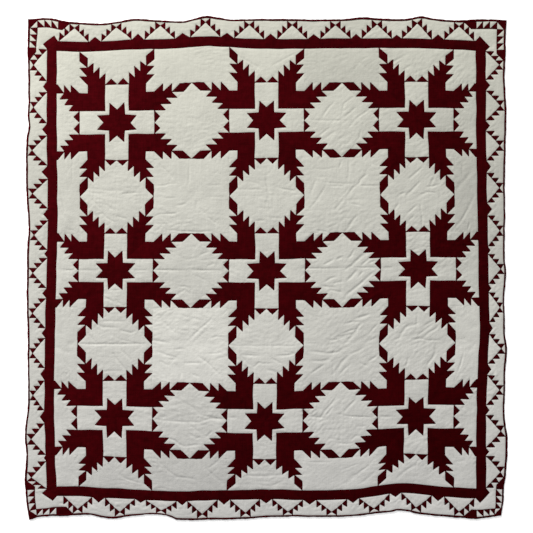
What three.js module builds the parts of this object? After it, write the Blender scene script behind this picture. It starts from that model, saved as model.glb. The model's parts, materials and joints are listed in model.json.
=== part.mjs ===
// Pieced star quilt, lying face up and flat on its back.
// Millimetres, +Z up, +Y towards the top edge. The origin is on the surface
// that the quilt lies on, under the middle of its outline.
// The body is one solid: pieced top, batting and backing, sewn through.
// The binding is four strips that meet in mitred corners.

import * as THREE from 'three';

// Driving dimensions of the pieced top
const BLOCK = 670; // pitch of the star blocks
const MIDDLE_Y = -8; // height of the middle star on the quilt
const REACH = BLOCK / 4; // from a star's centre to the end of its white cross
const ARM = 53; // half the width of a cross arm
const STRIP = 37; // width of a strip of feather triangles
const STAR_SPAN = 172; // point to point across a star
const FIELD_SIDE = 270; // from the outer stars to the frame, left and right
const FIELD_TOP = 318; // from the top stars to the frame
const FIELD_BOTTOM = 306; // from the bottom stars to the frame
const FRAME = 41; // width of the dark frame strips
const FRAME_LENGTHS = 22; // short lengths that a frame strip is worked out in
const BORDER = 77; // width of the pieced border
const PYRAMID = 134; // base of a border pyramid
const BINDING = 7.5; // width of the binding on the face

// Driving dimensions of the padding
const SEAM_Z = 4.4; // thickness along a seam
const PUFF_Z = 6.4; // thickness inside a patch
const CROWN = 0.8; // how much higher the middle of a large patch stands
const RIM_Z = 4.8; // thickness where the binding starts
const BINDING_Z = 6.4; // height of the rolled binding
const PUFF_INSET = 14; // width of the slope from a seam up to the puff
const SMALL_PATCH = 34; // a patch whose middle is nearer to a seam than this is one peak
const GAP = 0.3; // clearance between the body and the binding strips

// The quilt is handmade and lies unevenly, so each seam line wanders.
// Columns: at, the place along the line; out, how far it stands outside its
// straight place, away from the middle of the quilt.
const EDGE_WAVES = {
  top: [
    [-1060, 4], [-986, 9], [-907, -6], [-779, -15], [-676, -9], [-596, 4], [-486, -2],
    [-376, -5], [-321, 8], [-267, 18], [-213, 10], [-159, 2], [15, 4], [328, 2],
    [428, 13], [510, 7], [625, 4], [693, 15], [740, 7], [844, -1], [974, 4], [1066, -1],
  ],
  bottom: [
    [-1060, 13], [-1021, 1], [-900, -4], [-796, -9], [-691, 8], [-633, 2], [-553, -9],
    [-472, -11], [-419, 1], [-392, 13], [-227, 12], [-82, 8], [34, -1], [293, 1],
    [375, -3], [490, -15], [553, -21], [589, -30], [635, -24], [687, -13], [779, -4],
    [866, 5], [918, 10], [982, 5], [1066, -5],
  ],
  left: [
    [1110, -5], [992, -2], [869, -5], [762, -7], [695, -2], [644, -6], [592, 1], [480, 4],
    [329, 1], [196, -8], [124, -3], [21, -1], [-133, 1], [-299, -2], [-450, -5],
    [-624, -3], [-757, 9], [-843, 3], [-930, 10], [-999, 7], [-1069, -1], [-1110, -10],
  ],
  right: [
    [1110, 5], [912, -1], [809, -1], [697, 5], [519, 1], [394, -1], [170, -1], [41, -1],
    [-17, 4], [-116, -2], [-299, -1], [-361, 7], [-477, 0], [-683, -3], [-714, 0],
    [-772, 9], [-853, 9], [-924, 3], [-987, -6], [-1045, -9], [-1110, -18],
  ],
};
const FRAME_WAVES = {
  top: [
    [-936, -10], [-778, -12], [-599, -2], [-400, 2], [-268, 12], [-60, 2], [100, 1],
    [400, 3], [680, 3], [935, -8],
  ],
  bottom: [
    [-930, -8], [-840, -8], [-675, 2], [-400, 15], [-190, 10], [20, 7], [170, 11],
    [397, 5], [600, -21], [781, -6], [932, 3],
  ],
  left: [[974, -4], [528, -4], [215, -7], [-321, 5], [-625, 8], [-830, 3], [-978, -4]],
  right: [
    [974, -2], [831, -1], [519, 0], [394, 3], [170, 7], [-89, 11], [-299, 14],
    [-477, 6], [-683, 1], [-987, 0],
  ],
};
// How far each star's centre stands from its even place. Rows: the top, middle
// and bottom stars. Columns: the left, middle and right stars, as [right, up].
const STAR_SHIFTS = [
  [[4, -13], [2, -2], [2, 1]],
  [[-5, -3], [4, -5], [11, 4]],
  [[-7, 10], [-7, -8], [-1, 16]],
];
// Tips of the border pyramids along each side
const PYRAMIDS = {
  top: [-856, -669, -472, -271, -75, 117, 310, 496, 675, 862],
  bottom: [-842, -653, -469, -285, -92, 98, 293, 483, 670, 862],
  left: [907, 718, 526, 333, 147, -22, -202, -381, -569, -765, -936],
  right: [908, 726, 547, 358, 167, -4, -176, -360, -545, -729, -912],
};
// Lasting fold creases across the cloth, each a soft trough.
// Columns: height of the crease on the quilt, its depth, its half width.
const FOLDS_ACROSS = [[330, 0.5, 30], [-10, 1.2, 24], [-336, 1.0, 26], [-672, 0.9, 26]];
// Columns: place of the crease from left to right, its depth, its half width.
const FOLDS_DOWN = [[-335, 0.5, 28], [5, 0.6, 26], [335, 0.5, 28]];

// Straight places of the main lines
const FIELD_X = BLOCK + FIELD_SIDE;
const FRAME_X = FIELD_X + FRAME;
const RIM_X = FRAME_X + BORDER;
const EDGE_X = RIM_X + BINDING;
const FIELD_Y = { top: MIDDLE_Y + BLOCK + FIELD_TOP, bottom: MIDDLE_Y - BLOCK - FIELD_BOTTOM };
const FRAME_Y = { top: FIELD_Y.top + FRAME, bottom: FIELD_Y.bottom - FRAME };
const RIM_Y = { top: FRAME_Y.top + BORDER, bottom: FRAME_Y.bottom - BORDER };
const EDGE_Y = { top: RIM_Y.top + BINDING, bottom: RIM_Y.bottom - BINDING };

// A smooth curve through a table of [at, value], level past its ends
function curveThrough(table) {
  const rows = [...table].sort((a, b) => a[0] - b[0]);
  const slope = (i) => {
    const a = rows[Math.max(i - 1, 0)];
    const b = rows[Math.min(i + 1, rows.length - 1)];
    return (b[1] - a[1]) / (b[0] - a[0]);
  };
  return (at) => {
    if (at <= rows[0][0]) return rows[0][1];
    const last = rows.length - 1;
    if (at >= rows[last][0]) return rows[last][1];
    const i = rows.findIndex((row) => row[0] > at) - 1;
    const width = rows[i + 1][0] - rows[i][0];
    const t = (at - rows[i][0]) / width;
    const s = t * t * (3 - 2 * t);
    const rise = t * (1 - t) * (1 - t) * slope(i) - t * t * (1 - t) * slope(i + 1);
    return rows[i][1] * (1 - s) + rows[i + 1][1] * s + width * rise;
  };
}

// The value at a place between lines that each have one, straight from line to line
function between(lines, at) {
  if (at <= lines[0][0]) return lines[0][1];
  for (let i = 1; i < lines.length; i++) {
    const [low, lowValue] = lines[i - 1];
    const [high, highValue] = lines[i];
    if (at <= high) return lowValue + ((highValue - lowValue) * (at - low)) / (high - low);
  }
  return lines[lines.length - 1][1];
}

const SIDES = ['top', 'right', 'bottom', 'left'];
const edgeWave = {};
const frameWave = {};
for (const side of SIDES) {
  edgeWave[side] = curveThrough(EDGE_WAVES[side]);
  frameWave[side] = curveThrough(FRAME_WAVES[side]);
}

const STAR_COLUMNS = [-BLOCK, 0, BLOCK];
const STAR_ROWS = [MIDDLE_Y + BLOCK, MIDDLE_Y, MIDDLE_Y - BLOCK];

// A place on the evenly drafted top, moved to where it lies on the real quilt
function settle([x, y]) {
  const columnShift = (column) =>
    between([2, 1, 0].map((row) => [STAR_ROWS[row], STAR_SHIFTS[row][column][0]]), y);
  const rowShift = (row) =>
    between([0, 1, 2].map((column) => [STAR_COLUMNS[column], STAR_SHIFTS[row][column][1]]), x);
  const shiftX = between([
    [-EDGE_X, -edgeWave.left(y)],
    [-FRAME_X, -frameWave.left(y)],
    [-FIELD_X, -frameWave.left(y)],
    ...STAR_COLUMNS.map((at, column) => [at, columnShift(column)]),
    [FIELD_X, frameWave.right(y)],
    [FRAME_X, frameWave.right(y)],
    [EDGE_X, edgeWave.right(y)],
  ], x);
  const shiftY = between([
    [EDGE_Y.bottom, -edgeWave.bottom(x)],
    [FRAME_Y.bottom, -frameWave.bottom(x)],
    [FIELD_Y.bottom, -frameWave.bottom(x)],
    ...[2, 1, 0].map((row) => [STAR_ROWS[row], rowShift(row)]),
    [FIELD_Y.top, frameWave.top(x)],
    [FRAME_Y.top, frameWave.top(x)],
    [EDGE_Y.top, edgeWave.top(x)],
  ], y);
  return [x + shiftX, y + shiftY];
}

// Depth of the fold creases at a place on the real quilt
function creaseAt([x, y]) {
  const trough = (distance, depth, width) => depth * Math.exp(-((distance / width) ** 2));
  let depth = 0;
  for (const [at, deep, width] of FOLDS_ACROSS) depth += trough(y - at, deep, width);
  for (const [at, deep, width] of FOLDS_DOWN) depth += trough(x - at, deep, width);
  return depth;
}

// A patch is a flat outline and the place of its middle, from which every corner can
// be seen. Without one its centroid is the middle.
function patch(outline, middle) {
  return { outline, middle };
}

function centroid(outline) {
  let area = 0;
  let x = 0;
  let y = 0;
  outline.forEach(([ax, ay], i) => {
    const [bx, by] = outline[(i + 1) % outline.length];
    const cross = ax * by - bx * ay;
    area += cross / 2;
    x += ((ax + bx) * cross) / 6;
    y += ((ay + by) * cross) / 6;
  });
  return [x / area, y / area];
}

function signedArea(outline) {
  return outline.reduce((sum, [ax, ay], i) => {
    const [bx, by] = outline[(i + 1) % outline.length];
    return sum + (ax * by - bx * ay) / 2;
  }, 0);
}

// The part of an outline that lies on the field inside the frame
function trimToField(outline) {
  const sides = [
    ([x]) => x + FIELD_X,
    ([x]) => FIELD_X - x,
    ([, y]) => y - FIELD_Y.bottom,
    ([, y]) => FIELD_Y.top - y,
  ];
  let kept = outline;
  for (const inside of sides) {
    const next = [];
    kept.forEach((a, i) => {
      const b = kept[(i + 1) % kept.length];
      const [da, db] = [inside(a), inside(b)];
      if (da >= 0) next.push(a);
      if (da * db < 0) {
        const t = da / (da - db);
        next.push([a[0] + t * (b[0] - a[0]), a[1] + t * (b[1] - a[1])]);
      }
    });
    kept = next;
  }
  return kept;
}

// An eight pointed star: how far out a point reaches, how far its tip stands from the
// nearest axis, and how far from the middle the notches are, those on an axis and, as a
// place along each axis, those on a diagonal
const STAR = {
  long: 0.5 * STAR_SPAN,
  short: 0.185 * STAR_SPAN,
  notch: 0.333 * STAR_SPAN,
  corner: 0.2 * STAR_SPAN,
};

function starOutline() {
  const { long, short, notch, corner } = STAR;
  const quarter = [[long, short], [corner, corner], [short, long], [0, notch]];
  const outline = [];
  for (let turn = 0; turn < 4; turn++) {
    const [c, s] = [Math.cos((turn * Math.PI) / 2), Math.sin((turn * Math.PI) / 2)];
    for (const [x, y] of quarter) outline.push([x * c - y * s, x * s + y * c]);
  }
  return outline;
}

// The patches of a block's upper right quarter, beyond the star and the cross
function quarterPatches() {
  const { long, short, corner } = STAR;
  const inner = REACH - STRIP;
  const slant = inner + (REACH - ARM);
  const half = [
    [[ARM, ARM], [inner, inner], [inner, slant], [ARM, REACH]],
    [[0, REACH], [ARM, REACH], [inner, slant], [inner, 2 * REACH - STRIP], [REACH, 2 * REACH]],
    [[REACH, 2 * REACH], [inner, 2 * REACH - STRIP], [inner, slant], [REACH, slant + STRIP]],
    [[REACH, slant + STRIP], [inner, slant], [inner, REACH], [REACH, REACH]],
  ];
  const mirrored = half.map((outline) => outline.map(([x, y]) => [y, x]));
  const middleSquare = [[inner, inner], [REACH, inner], [REACH, REACH], [inner, REACH]];
  const elbow = [[corner, corner], [long, short], [long, ARM], [ARM, ARM],
    [ARM, long], [short, long]];
  return [...half, ...mirrored, middleSquare].map((outline) => patch(outline, null))
    .concat([patch(elbow, [(corner + ARM) / 2, (corner + ARM) / 2])]);
}

// A cross arm, from its end to the notch of the star
function armPatch() {
  const { long, short, notch } = STAR;
  const outline = [[-ARM, long], [-short, long], [0, notch], [short, long],
    [ARM, long], [ARM, REACH], [0, REACH], [-ARM, REACH]];
  return patch(outline, [0, 0.72 * REACH]);
}

// A patch turned by quarter turns and moved to a block's centre
function placed({ outline, middle }, turn, [cx, cy]) {
  const [c, s] = [[1, 0], [0, 1], [-1, 0], [0, -1]][turn];
  const place = ([x, y]) => [cx + x * c - y * s, cy + x * s + y * c];
  return patch(outline.map(place), middle && place(middle));
}

function blockPatches(centre) {
  const patches = [placed(patch(starOutline(), [0, 0]), 0, centre)];
  for (let turn = 0; turn < 4; turn++) {
    patches.push(placed(armPatch(), turn, centre));
    for (const piece of quarterPatches()) patches.push(placed(piece, turn, centre));
  }
  return patches;
}

// A plain white square quilted from corner to corner, as four triangles
function quilted(corners) {
  const middle = [(corners[0][0] + corners[2][0]) / 2, (corners[0][1] + corners[2][1]) / 2];
  return corners.map((a, i) => patch([a, corners[(i + 1) % 4], middle], null));
}

function fieldPatches() {
  const patches = [];
  for (const x of STAR_COLUMNS) {
    for (const y of STAR_ROWS) patches.push(...blockPatches([x, y]));
  }
  const halfBlock = BLOCK / 2;
  for (let i = -3; i <= 3; i++) {
    for (let j = -3; j <= 3; j++) {
      const [x, y] = [i * halfBlock, MIDDLE_Y + j * halfBlock];
      const large = i % 2 !== 0 && j % 2 !== 0;
      const turned = (i + j) % 2 !== 0;
      if (large) {
        patches.push(...quilted([[x - REACH, y - REACH], [x + REACH, y - REACH],
          [x + REACH, y + REACH], [x - REACH, y + REACH]]));
      } else if (turned) {
        patches.push(...quilted([[x, y - REACH], [x + REACH, y], [x, y + REACH], [x - REACH, y]]));
      }
    }
  }
  return patches.map(({ outline, middle }) => patch(trimToField(outline), middle));
}

// Places along a side where the rim has a corner: the tips of the pyramids, two
// places between each two tips, and the corners of the border
function stations(side) {
  const across = side === 'top' || side === 'bottom';
  const [low, high] = across ? [-FRAME_X, FRAME_X] : [FRAME_Y.bottom, FRAME_Y.top];
  const marks = [low, ...[...PYRAMIDS[side]].sort((a, b) => a - b), high];
  const places = [];
  marks.slice(0, -1).forEach((mark, i) => {
    const step = (marks[i + 1] - mark) / 3;
    places.push(mark, mark + step, mark + 2 * step);
  });
  return [low - BORDER, low - BORDER / 2, ...places, high, high + BORDER / 2, high + BORDER];
}

// Turns a place along and out from a side's frame strip into a place on the top
function onSide(side, along, out) {
  if (side === 'top') return [along, FRAME_Y.top + out];
  if (side === 'bottom') return [along, FRAME_Y.bottom - out];
  return side === 'left' ? [-FRAME_X - out, along] : [FRAME_X + out, along];
}

function borderPatches(side) {
  const across = side === 'top' || side === 'bottom';
  const [low, high] = across ? [-FRAME_X, FRAME_X] : [FRAME_Y.bottom, FRAME_Y.top];
  const tips = [...PYRAMIDS[side]].sort((a, b) => a - b);
  const half = PYRAMID / 2;
  const shapes = tips.map((tip) => [[tip - half, 0], [tip + half, 0], [tip, BORDER]]);
  tips.slice(1).forEach((tip, i) => {
    shapes.push([[tips[i] + half, 0], [tip - half, 0], [tip, BORDER], [tips[i], BORDER]]);
  });
  const [first, last] = [tips[0], tips[tips.length - 1]];
  shapes.push([[low, 0], [first - half, 0], [first, BORDER], [low, BORDER]]);
  shapes.push([[last + half, 0], [high, 0], [high, BORDER], [last, BORDER]]);
  return shapes.map((shape) => patch(shape.map(([along, out]) => onSide(side, along, out)), null));
}

function cornerPatches() {
  const patches = [];
  for (const x of [-1, 1]) {
    for (const y of ['bottom', 'top']) {
      patches.push(patch([[x * FRAME_X, FRAME_Y[y]], [x * RIM_X, FRAME_Y[y]],
        [x * RIM_X, RIM_Y[y]], [x * FRAME_X, RIM_Y[y]]], null));
    }
  }
  return patches;
}

// The frame strips are padded along their middle line, so each is two rows of short
// lengths that share a high line
function framePatches() {
  const patches = [];
  const mix = (a, b, t) => a + (b - a) * t;
  for (let i = 0; i < FRAME_LENGTHS; i++) {
    const [start, end] = [i / FRAME_LENGTHS, (i + 1) / FRAME_LENGTHS];
    for (const [near, far] of [[0, 0.5], [0.5, 1]]) {
      const quad = (place) => patch([
        place(start, near), place(end, near), place(end, far), place(start, far),
      ], null);
      for (const y of ['bottom', 'top']) {
        patches.push(quad((along, level) => {
          const reach = mix(FIELD_X, FRAME_X, level);
          return [mix(-reach, reach, along), mix(FIELD_Y[y], FRAME_Y[y], level)];
        }));
      }
      for (const x of [-1, 1]) {
        patches.push(quad((along, level) => {
          const low = mix(FIELD_Y.bottom, FRAME_Y.bottom, level);
          const high = mix(FIELD_Y.top, FRAME_Y.top, level);
          return [x * mix(FIELD_X, FRAME_X, level), mix(low, high, along)];
        }));
      }
    }
  }
  return patches;
}

// Corners closer than this, in millimetres, are one corner
const NEAR = 0.1;

function shareCorners(patches, extra) {
  const corners = new Map();
  const shared = ([x, y]) => {
    const [i, j] = [Math.round(x / NEAR), Math.round(y / NEAR)];
    for (let a = i - 1; a <= i + 1; a++) {
      for (let b = j - 1; b <= j + 1; b++) {
        const found = corners.get(`${a},${b}`);
        if (found && Math.hypot(found[0] - x, found[1] - y) < NEAR) return found;
      }
    }
    const corner = [x, y];
    corners.set(`${i},${j}`, corner);
    return corner;
  };
  extra.forEach(shared);
  for (const piece of patches) {
    const outline = piece.outline.map(shared);
    piece.outline = outline.filter((p, i) => p !== outline[(i + 1) % outline.length]);
    if (signedArea(piece.outline) < 0) piece.outline.reverse();
  }
  return [...corners.values()];
}

// Where a patch's corner lies on its neighbour's side, the neighbour gets a corner too
function matchSides(patches, corners) {
  for (const piece of patches) {
    const outline = [];
    piece.outline.forEach((a, i) => {
      const b = piece.outline[(i + 1) % piece.outline.length];
      const [dx, dy] = [b[0] - a[0], b[1] - a[1]];
      const length = Math.hypot(dx, dy);
      const on = corners
        .map((p) => [((p[0] - a[0]) * dx + (p[1] - a[1]) * dy) / length,
          ((p[1] - a[1]) * dx - (p[0] - a[0]) * dy) / length, p])
        .filter(([along, off]) => Math.abs(off) < NEAR && along > NEAR && along < length - NEAR)
        .sort((p, q) => p[0] - q[0]);
      outline.push(a, ...on.map(([, , p]) => p));
    });
    piece.outline = outline;
  }
}

function isOnFrameMiddle([x, y]) {
  const onX = Math.abs(Math.abs(x) - FIELD_X - FRAME / 2) < NEAR
    && y < FIELD_Y.top + FRAME && y > FIELD_Y.bottom - FRAME;
  const above = Math.abs(y - FIELD_Y.top - FRAME / 2) < NEAR;
  const below = Math.abs(y - FIELD_Y.bottom + FRAME / 2) < NEAR;
  return onX || ((above || below) && Math.abs(x) < FRAME_X);
}

const isOnRim = ([x, y]) => Math.abs(Math.abs(x) - RIM_X) < NEAR
  || Math.abs(y - RIM_Y.top) < NEAR || Math.abs(y - RIM_Y.bottom) < NEAR;

function heightOnSeam(corner) {
  if (isOnFrameMiddle(corner)) return PUFF_Z;
  return isOnRim(corner) ? RIM_Z : SEAM_Z;
}

// A patch's middle is as far from its nearest side as this
function innerRadius(outline, [cx, cy]) {
  return Math.min(...outline.map(([ax, ay], i) => {
    const [bx, by] = outline[(i + 1) % outline.length];
    return ((bx - ax) * (cy - ay) - (by - ay) * (cx - ax)) / Math.hypot(bx - ax, by - ay);
  }));
}

function quiltBody() {
  const patches = [...fieldPatches(), ...framePatches(), ...cornerPatches(),
    ...SIDES.flatMap(borderPatches)].filter(({ outline }) => outline.length > 2);
  const rim = SIDES.flatMap((side) => stations(side).map((at) => onSide(side, at, BORDER)));
  const corners = shareCorners(patches, rim);
  matchSides(patches, corners);

  const positions = [];
  const indices = [];
  const numbers = new Map();
  const add = (place, z) => {
    const real = settle(place);
    positions.push(real[0], real[1], z - creaseAt(real));
    return positions.length / 3 - 1;
  };
  const cornerNumber = (corner) => {
    if (!numbers.has(corner)) numbers.set(corner, add(corner, heightOnSeam(corner)));
    return numbers.get(corner);
  };
  for (const { outline, middle } of patches) {
    const centre = middle || centroid(outline);
    const radius = innerRadius(outline, centre);
    const ring = outline.map(cornerNumber);
    const next = (i) => (i + 1) % outline.length;
    const isFrame = outline.some(isOnFrameMiddle);
    if (isFrame) {
      const hub = add(centre, (SEAM_Z + PUFF_Z) / 2);
      ring.forEach((corner, i) => indices.push(corner, ring[next(i)], hub));
    } else if (radius < SMALL_PATCH) {
      const hub = add(centre, SEAM_Z + (PUFF_Z - SEAM_Z) * Math.min(1, radius / PUFF_INSET));
      ring.forEach((corner, i) => indices.push(corner, ring[next(i)], hub));
    } else {
      const shrink = 1 - PUFF_INSET / radius;
      const inner = outline.map(([x, y]) => add([centre[0] + (x - centre[0]) * shrink,
        centre[1] + (y - centre[1]) * shrink], PUFF_Z));
      const hub = add(centre, PUFF_Z + CROWN);
      ring.forEach((corner, i) => {
        indices.push(corner, ring[next(i)], inner[next(i)]);
        indices.push(corner, inner[next(i)], inner[i]);
        indices.push(inner[i], inner[next(i)], hub);
      });
    }
  }
  closeBelow(positions, indices);
  return bodyGeometry(positions, indices);
}

// Adds the walls at the rim and the flat back under an open top surface
function closeBelow(positions, indices) {
  const edges = new Set();
  for (let i = 0; i < indices.length; i += 3) {
    for (let k = 0; k < 3; k++) edges.add(`${indices[i + k]},${indices[i + ((k + 1) % 3)]}`);
  }
  const after = new Map();
  for (const edge of edges) {
    const [a, b] = edge.split(',').map(Number);
    if (!edges.has(`${b},${a}`)) after.set(a, b);
  }
  const loop = [[...after.keys()][0]];
  while (loop.length < after.size) loop.push(after.get(loop[loop.length - 1]));
  const below = loop.map((corner) => {
    positions.push(positions[3 * corner], positions[3 * corner + 1], 0);
    return positions.length / 3 - 1;
  });
  loop.forEach((corner, i) => {
    const j = (i + 1) % loop.length;
    indices.push(below[i], below[j], loop[j], below[i], loop[j], corner);
  });
  const outline = loop.map((corner) =>
    new THREE.Vector2(positions[3 * corner], positions[3 * corner + 1]));
  for (const [a, b, c] of THREE.ShapeUtils.triangulateShape(outline, [])) {
    indices.push(below[a], below[c], below[b]);
  }
}

function bodyGeometry(positions, indices) {
  const geometry = new THREE.BufferGeometry();
  geometry.setAttribute('position', new THREE.Float32BufferAttribute(positions, 3));
  geometry.setIndex(indices);
  geometry.computeVertexNormals();
  return geometry;
}

// Section of a binding strip, from the body outwards. Columns: out, height.
const BINDING_SECTION = [
  [GAP, 0], [BINDING - 1.2, 0], [BINDING, 1.3], [BINDING, BINDING_Z - 2],
  [BINDING - 1.4, BINDING_Z - 0.5], [BINDING / 2, BINDING_Z], [GAP, BINDING_Z - 0.7],
];

// A strip folded over one edge, with its ends cut to the corner's mitre
function bindingStrip(side) {
  const places = stations(side);
  const [low, high] = [places[0], places[places.length - 1]];
  const positions = [];
  const indices = [];
  const size = BINDING_SECTION.length;
  for (const place of places) {
    for (const [out, height] of BINDING_SECTION) {
      let along = place;
      if (place === low) along = low - out + GAP;
      if (place === high) along = high + out - GAP;
      positions.push(...settle(onSide(side, along, BORDER + out)), height);
    }
  }
  const flipped = side === 'bottom' || side === 'right';
  const face = (a, b, c) => (flipped ? indices.push(a, c, b) : indices.push(a, b, c));
  for (let i = 0; i + 1 < places.length; i++) {
    for (let j = 0; j < size; j++) {
      const [a, b] = [i * size + j, i * size + ((j + 1) % size)];
      face(a, b, b + size);
      face(a, b + size, a + size);
    }
  }
  const last = (places.length - 1) * size;
  for (let j = 1; j + 1 < size; j++) {
    face(0, j + 1, j);
    face(last, last + j, last + j + 1);
  }
  return bodyGeometry(positions, indices);
}

function named(name, geometry, material) {
  const mesh = new THREE.Mesh(geometry, material);
  mesh.name = name;
  return mesh;
}

const whiteCotton = new THREE.MeshStandardMaterial({ color: 0xd3d2c6, roughness: 0.9, metalness: 0 });
const darkCotton = new THREE.MeshStandardMaterial({ color: 0x4a070c, roughness: 0.88, metalness: 0 });

const quilt = new THREE.Group();
quilt.add(named('quilt', quiltBody(), whiteCotton));
for (const side of SIDES) {
  quilt.add(named(`binding_${side}`, bindingStrip(side), darkCotton));
}

export default quilt;
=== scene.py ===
import json
import math

import bpy
import numpy as np
from bpy.props import FloatProperty, FloatVectorProperty, PointerProperty
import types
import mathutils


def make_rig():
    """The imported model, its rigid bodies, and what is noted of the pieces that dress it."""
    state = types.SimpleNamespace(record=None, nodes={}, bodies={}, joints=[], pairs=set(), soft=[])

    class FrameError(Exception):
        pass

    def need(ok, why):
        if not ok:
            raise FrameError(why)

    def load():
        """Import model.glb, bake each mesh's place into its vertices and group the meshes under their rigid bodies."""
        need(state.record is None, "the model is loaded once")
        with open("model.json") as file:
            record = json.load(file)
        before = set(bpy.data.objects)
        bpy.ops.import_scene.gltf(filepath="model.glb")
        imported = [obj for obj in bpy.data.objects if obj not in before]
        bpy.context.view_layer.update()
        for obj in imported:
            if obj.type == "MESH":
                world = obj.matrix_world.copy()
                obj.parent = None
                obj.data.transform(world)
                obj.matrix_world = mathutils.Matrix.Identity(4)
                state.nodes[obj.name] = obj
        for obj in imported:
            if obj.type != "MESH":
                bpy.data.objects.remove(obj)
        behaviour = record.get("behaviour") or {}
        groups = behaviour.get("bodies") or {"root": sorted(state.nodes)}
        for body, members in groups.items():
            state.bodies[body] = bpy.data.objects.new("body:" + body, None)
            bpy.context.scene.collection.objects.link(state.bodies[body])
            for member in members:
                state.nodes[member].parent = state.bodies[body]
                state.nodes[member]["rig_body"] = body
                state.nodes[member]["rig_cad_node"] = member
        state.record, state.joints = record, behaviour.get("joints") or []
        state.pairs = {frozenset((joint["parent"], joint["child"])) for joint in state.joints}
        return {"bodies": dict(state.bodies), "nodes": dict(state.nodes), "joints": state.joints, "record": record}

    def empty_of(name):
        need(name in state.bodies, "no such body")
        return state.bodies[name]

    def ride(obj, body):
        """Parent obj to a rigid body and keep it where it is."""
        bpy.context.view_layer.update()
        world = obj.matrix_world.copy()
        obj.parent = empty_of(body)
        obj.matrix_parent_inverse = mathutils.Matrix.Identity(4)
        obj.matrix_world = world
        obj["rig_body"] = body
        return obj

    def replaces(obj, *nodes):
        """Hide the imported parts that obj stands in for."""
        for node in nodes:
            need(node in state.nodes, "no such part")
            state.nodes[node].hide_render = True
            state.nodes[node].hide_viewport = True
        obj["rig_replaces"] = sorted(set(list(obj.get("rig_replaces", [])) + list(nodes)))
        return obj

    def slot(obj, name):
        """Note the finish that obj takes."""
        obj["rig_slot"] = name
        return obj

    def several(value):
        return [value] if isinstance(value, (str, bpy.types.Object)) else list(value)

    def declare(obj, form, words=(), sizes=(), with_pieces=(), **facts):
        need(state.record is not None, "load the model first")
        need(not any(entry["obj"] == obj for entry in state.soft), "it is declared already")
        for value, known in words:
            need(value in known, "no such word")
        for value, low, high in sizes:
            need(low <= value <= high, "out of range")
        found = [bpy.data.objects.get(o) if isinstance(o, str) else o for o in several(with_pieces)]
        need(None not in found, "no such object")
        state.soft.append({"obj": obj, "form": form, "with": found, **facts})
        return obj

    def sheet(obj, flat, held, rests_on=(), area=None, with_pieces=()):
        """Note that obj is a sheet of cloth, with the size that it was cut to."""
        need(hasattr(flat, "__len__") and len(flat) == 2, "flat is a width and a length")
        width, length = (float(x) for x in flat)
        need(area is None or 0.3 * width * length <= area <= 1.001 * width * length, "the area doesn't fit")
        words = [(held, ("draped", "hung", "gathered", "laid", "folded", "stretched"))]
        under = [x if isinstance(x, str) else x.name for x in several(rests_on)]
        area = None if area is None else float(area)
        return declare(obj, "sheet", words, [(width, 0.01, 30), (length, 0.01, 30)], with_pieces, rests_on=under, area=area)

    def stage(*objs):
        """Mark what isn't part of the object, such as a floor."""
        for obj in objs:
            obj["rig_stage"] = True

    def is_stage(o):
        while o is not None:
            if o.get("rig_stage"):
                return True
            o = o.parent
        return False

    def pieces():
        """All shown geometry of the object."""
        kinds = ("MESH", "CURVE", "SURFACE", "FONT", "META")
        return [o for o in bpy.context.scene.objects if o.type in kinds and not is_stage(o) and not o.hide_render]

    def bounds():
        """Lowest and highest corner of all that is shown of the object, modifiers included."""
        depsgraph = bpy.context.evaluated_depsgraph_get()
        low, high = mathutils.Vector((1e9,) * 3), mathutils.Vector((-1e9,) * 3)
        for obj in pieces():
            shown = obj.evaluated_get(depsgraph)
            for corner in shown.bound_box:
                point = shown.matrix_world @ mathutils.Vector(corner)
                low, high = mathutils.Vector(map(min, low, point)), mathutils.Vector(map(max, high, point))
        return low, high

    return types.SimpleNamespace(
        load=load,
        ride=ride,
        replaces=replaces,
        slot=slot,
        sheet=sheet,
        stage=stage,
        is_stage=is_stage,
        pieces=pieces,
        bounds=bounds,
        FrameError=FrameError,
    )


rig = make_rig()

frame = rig.load()

# Pieced star quilt, lying face up and flat on its back.
# The drafting below is in millimetres, +Y towards the top edge, and a mesh is in metres.
# Every patch is drafted on an even top. Then settle() moves it to where it lies on the real,
# handmade and uneven quilt, by the same tables of wandering lines as the frame has.

bl_info = {
    "name": "Pieced star quilt",
    "version": (1, 0, 0),
    "blender": (4, 5, 0),
    "location": "View3D > Sidebar > Quilt",
    "description": "Pieces, quilts and finishes a star quilt around its frame",
    "category": "Object",
}

MM = 0.001
CAD_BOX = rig.bounds()
WHITE_SLOT = "white_cotton"
RED_SLOT = "dark_red_cotton"
SIZE_FILE = "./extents.json"
THREAD_HEIGHT = 0.06  # mm, of the weave under the light
TONE_SPREAD = {WHITE_SLOT: 0.014, RED_SLOT: 0.05}  # how unlike each other the patches are

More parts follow.
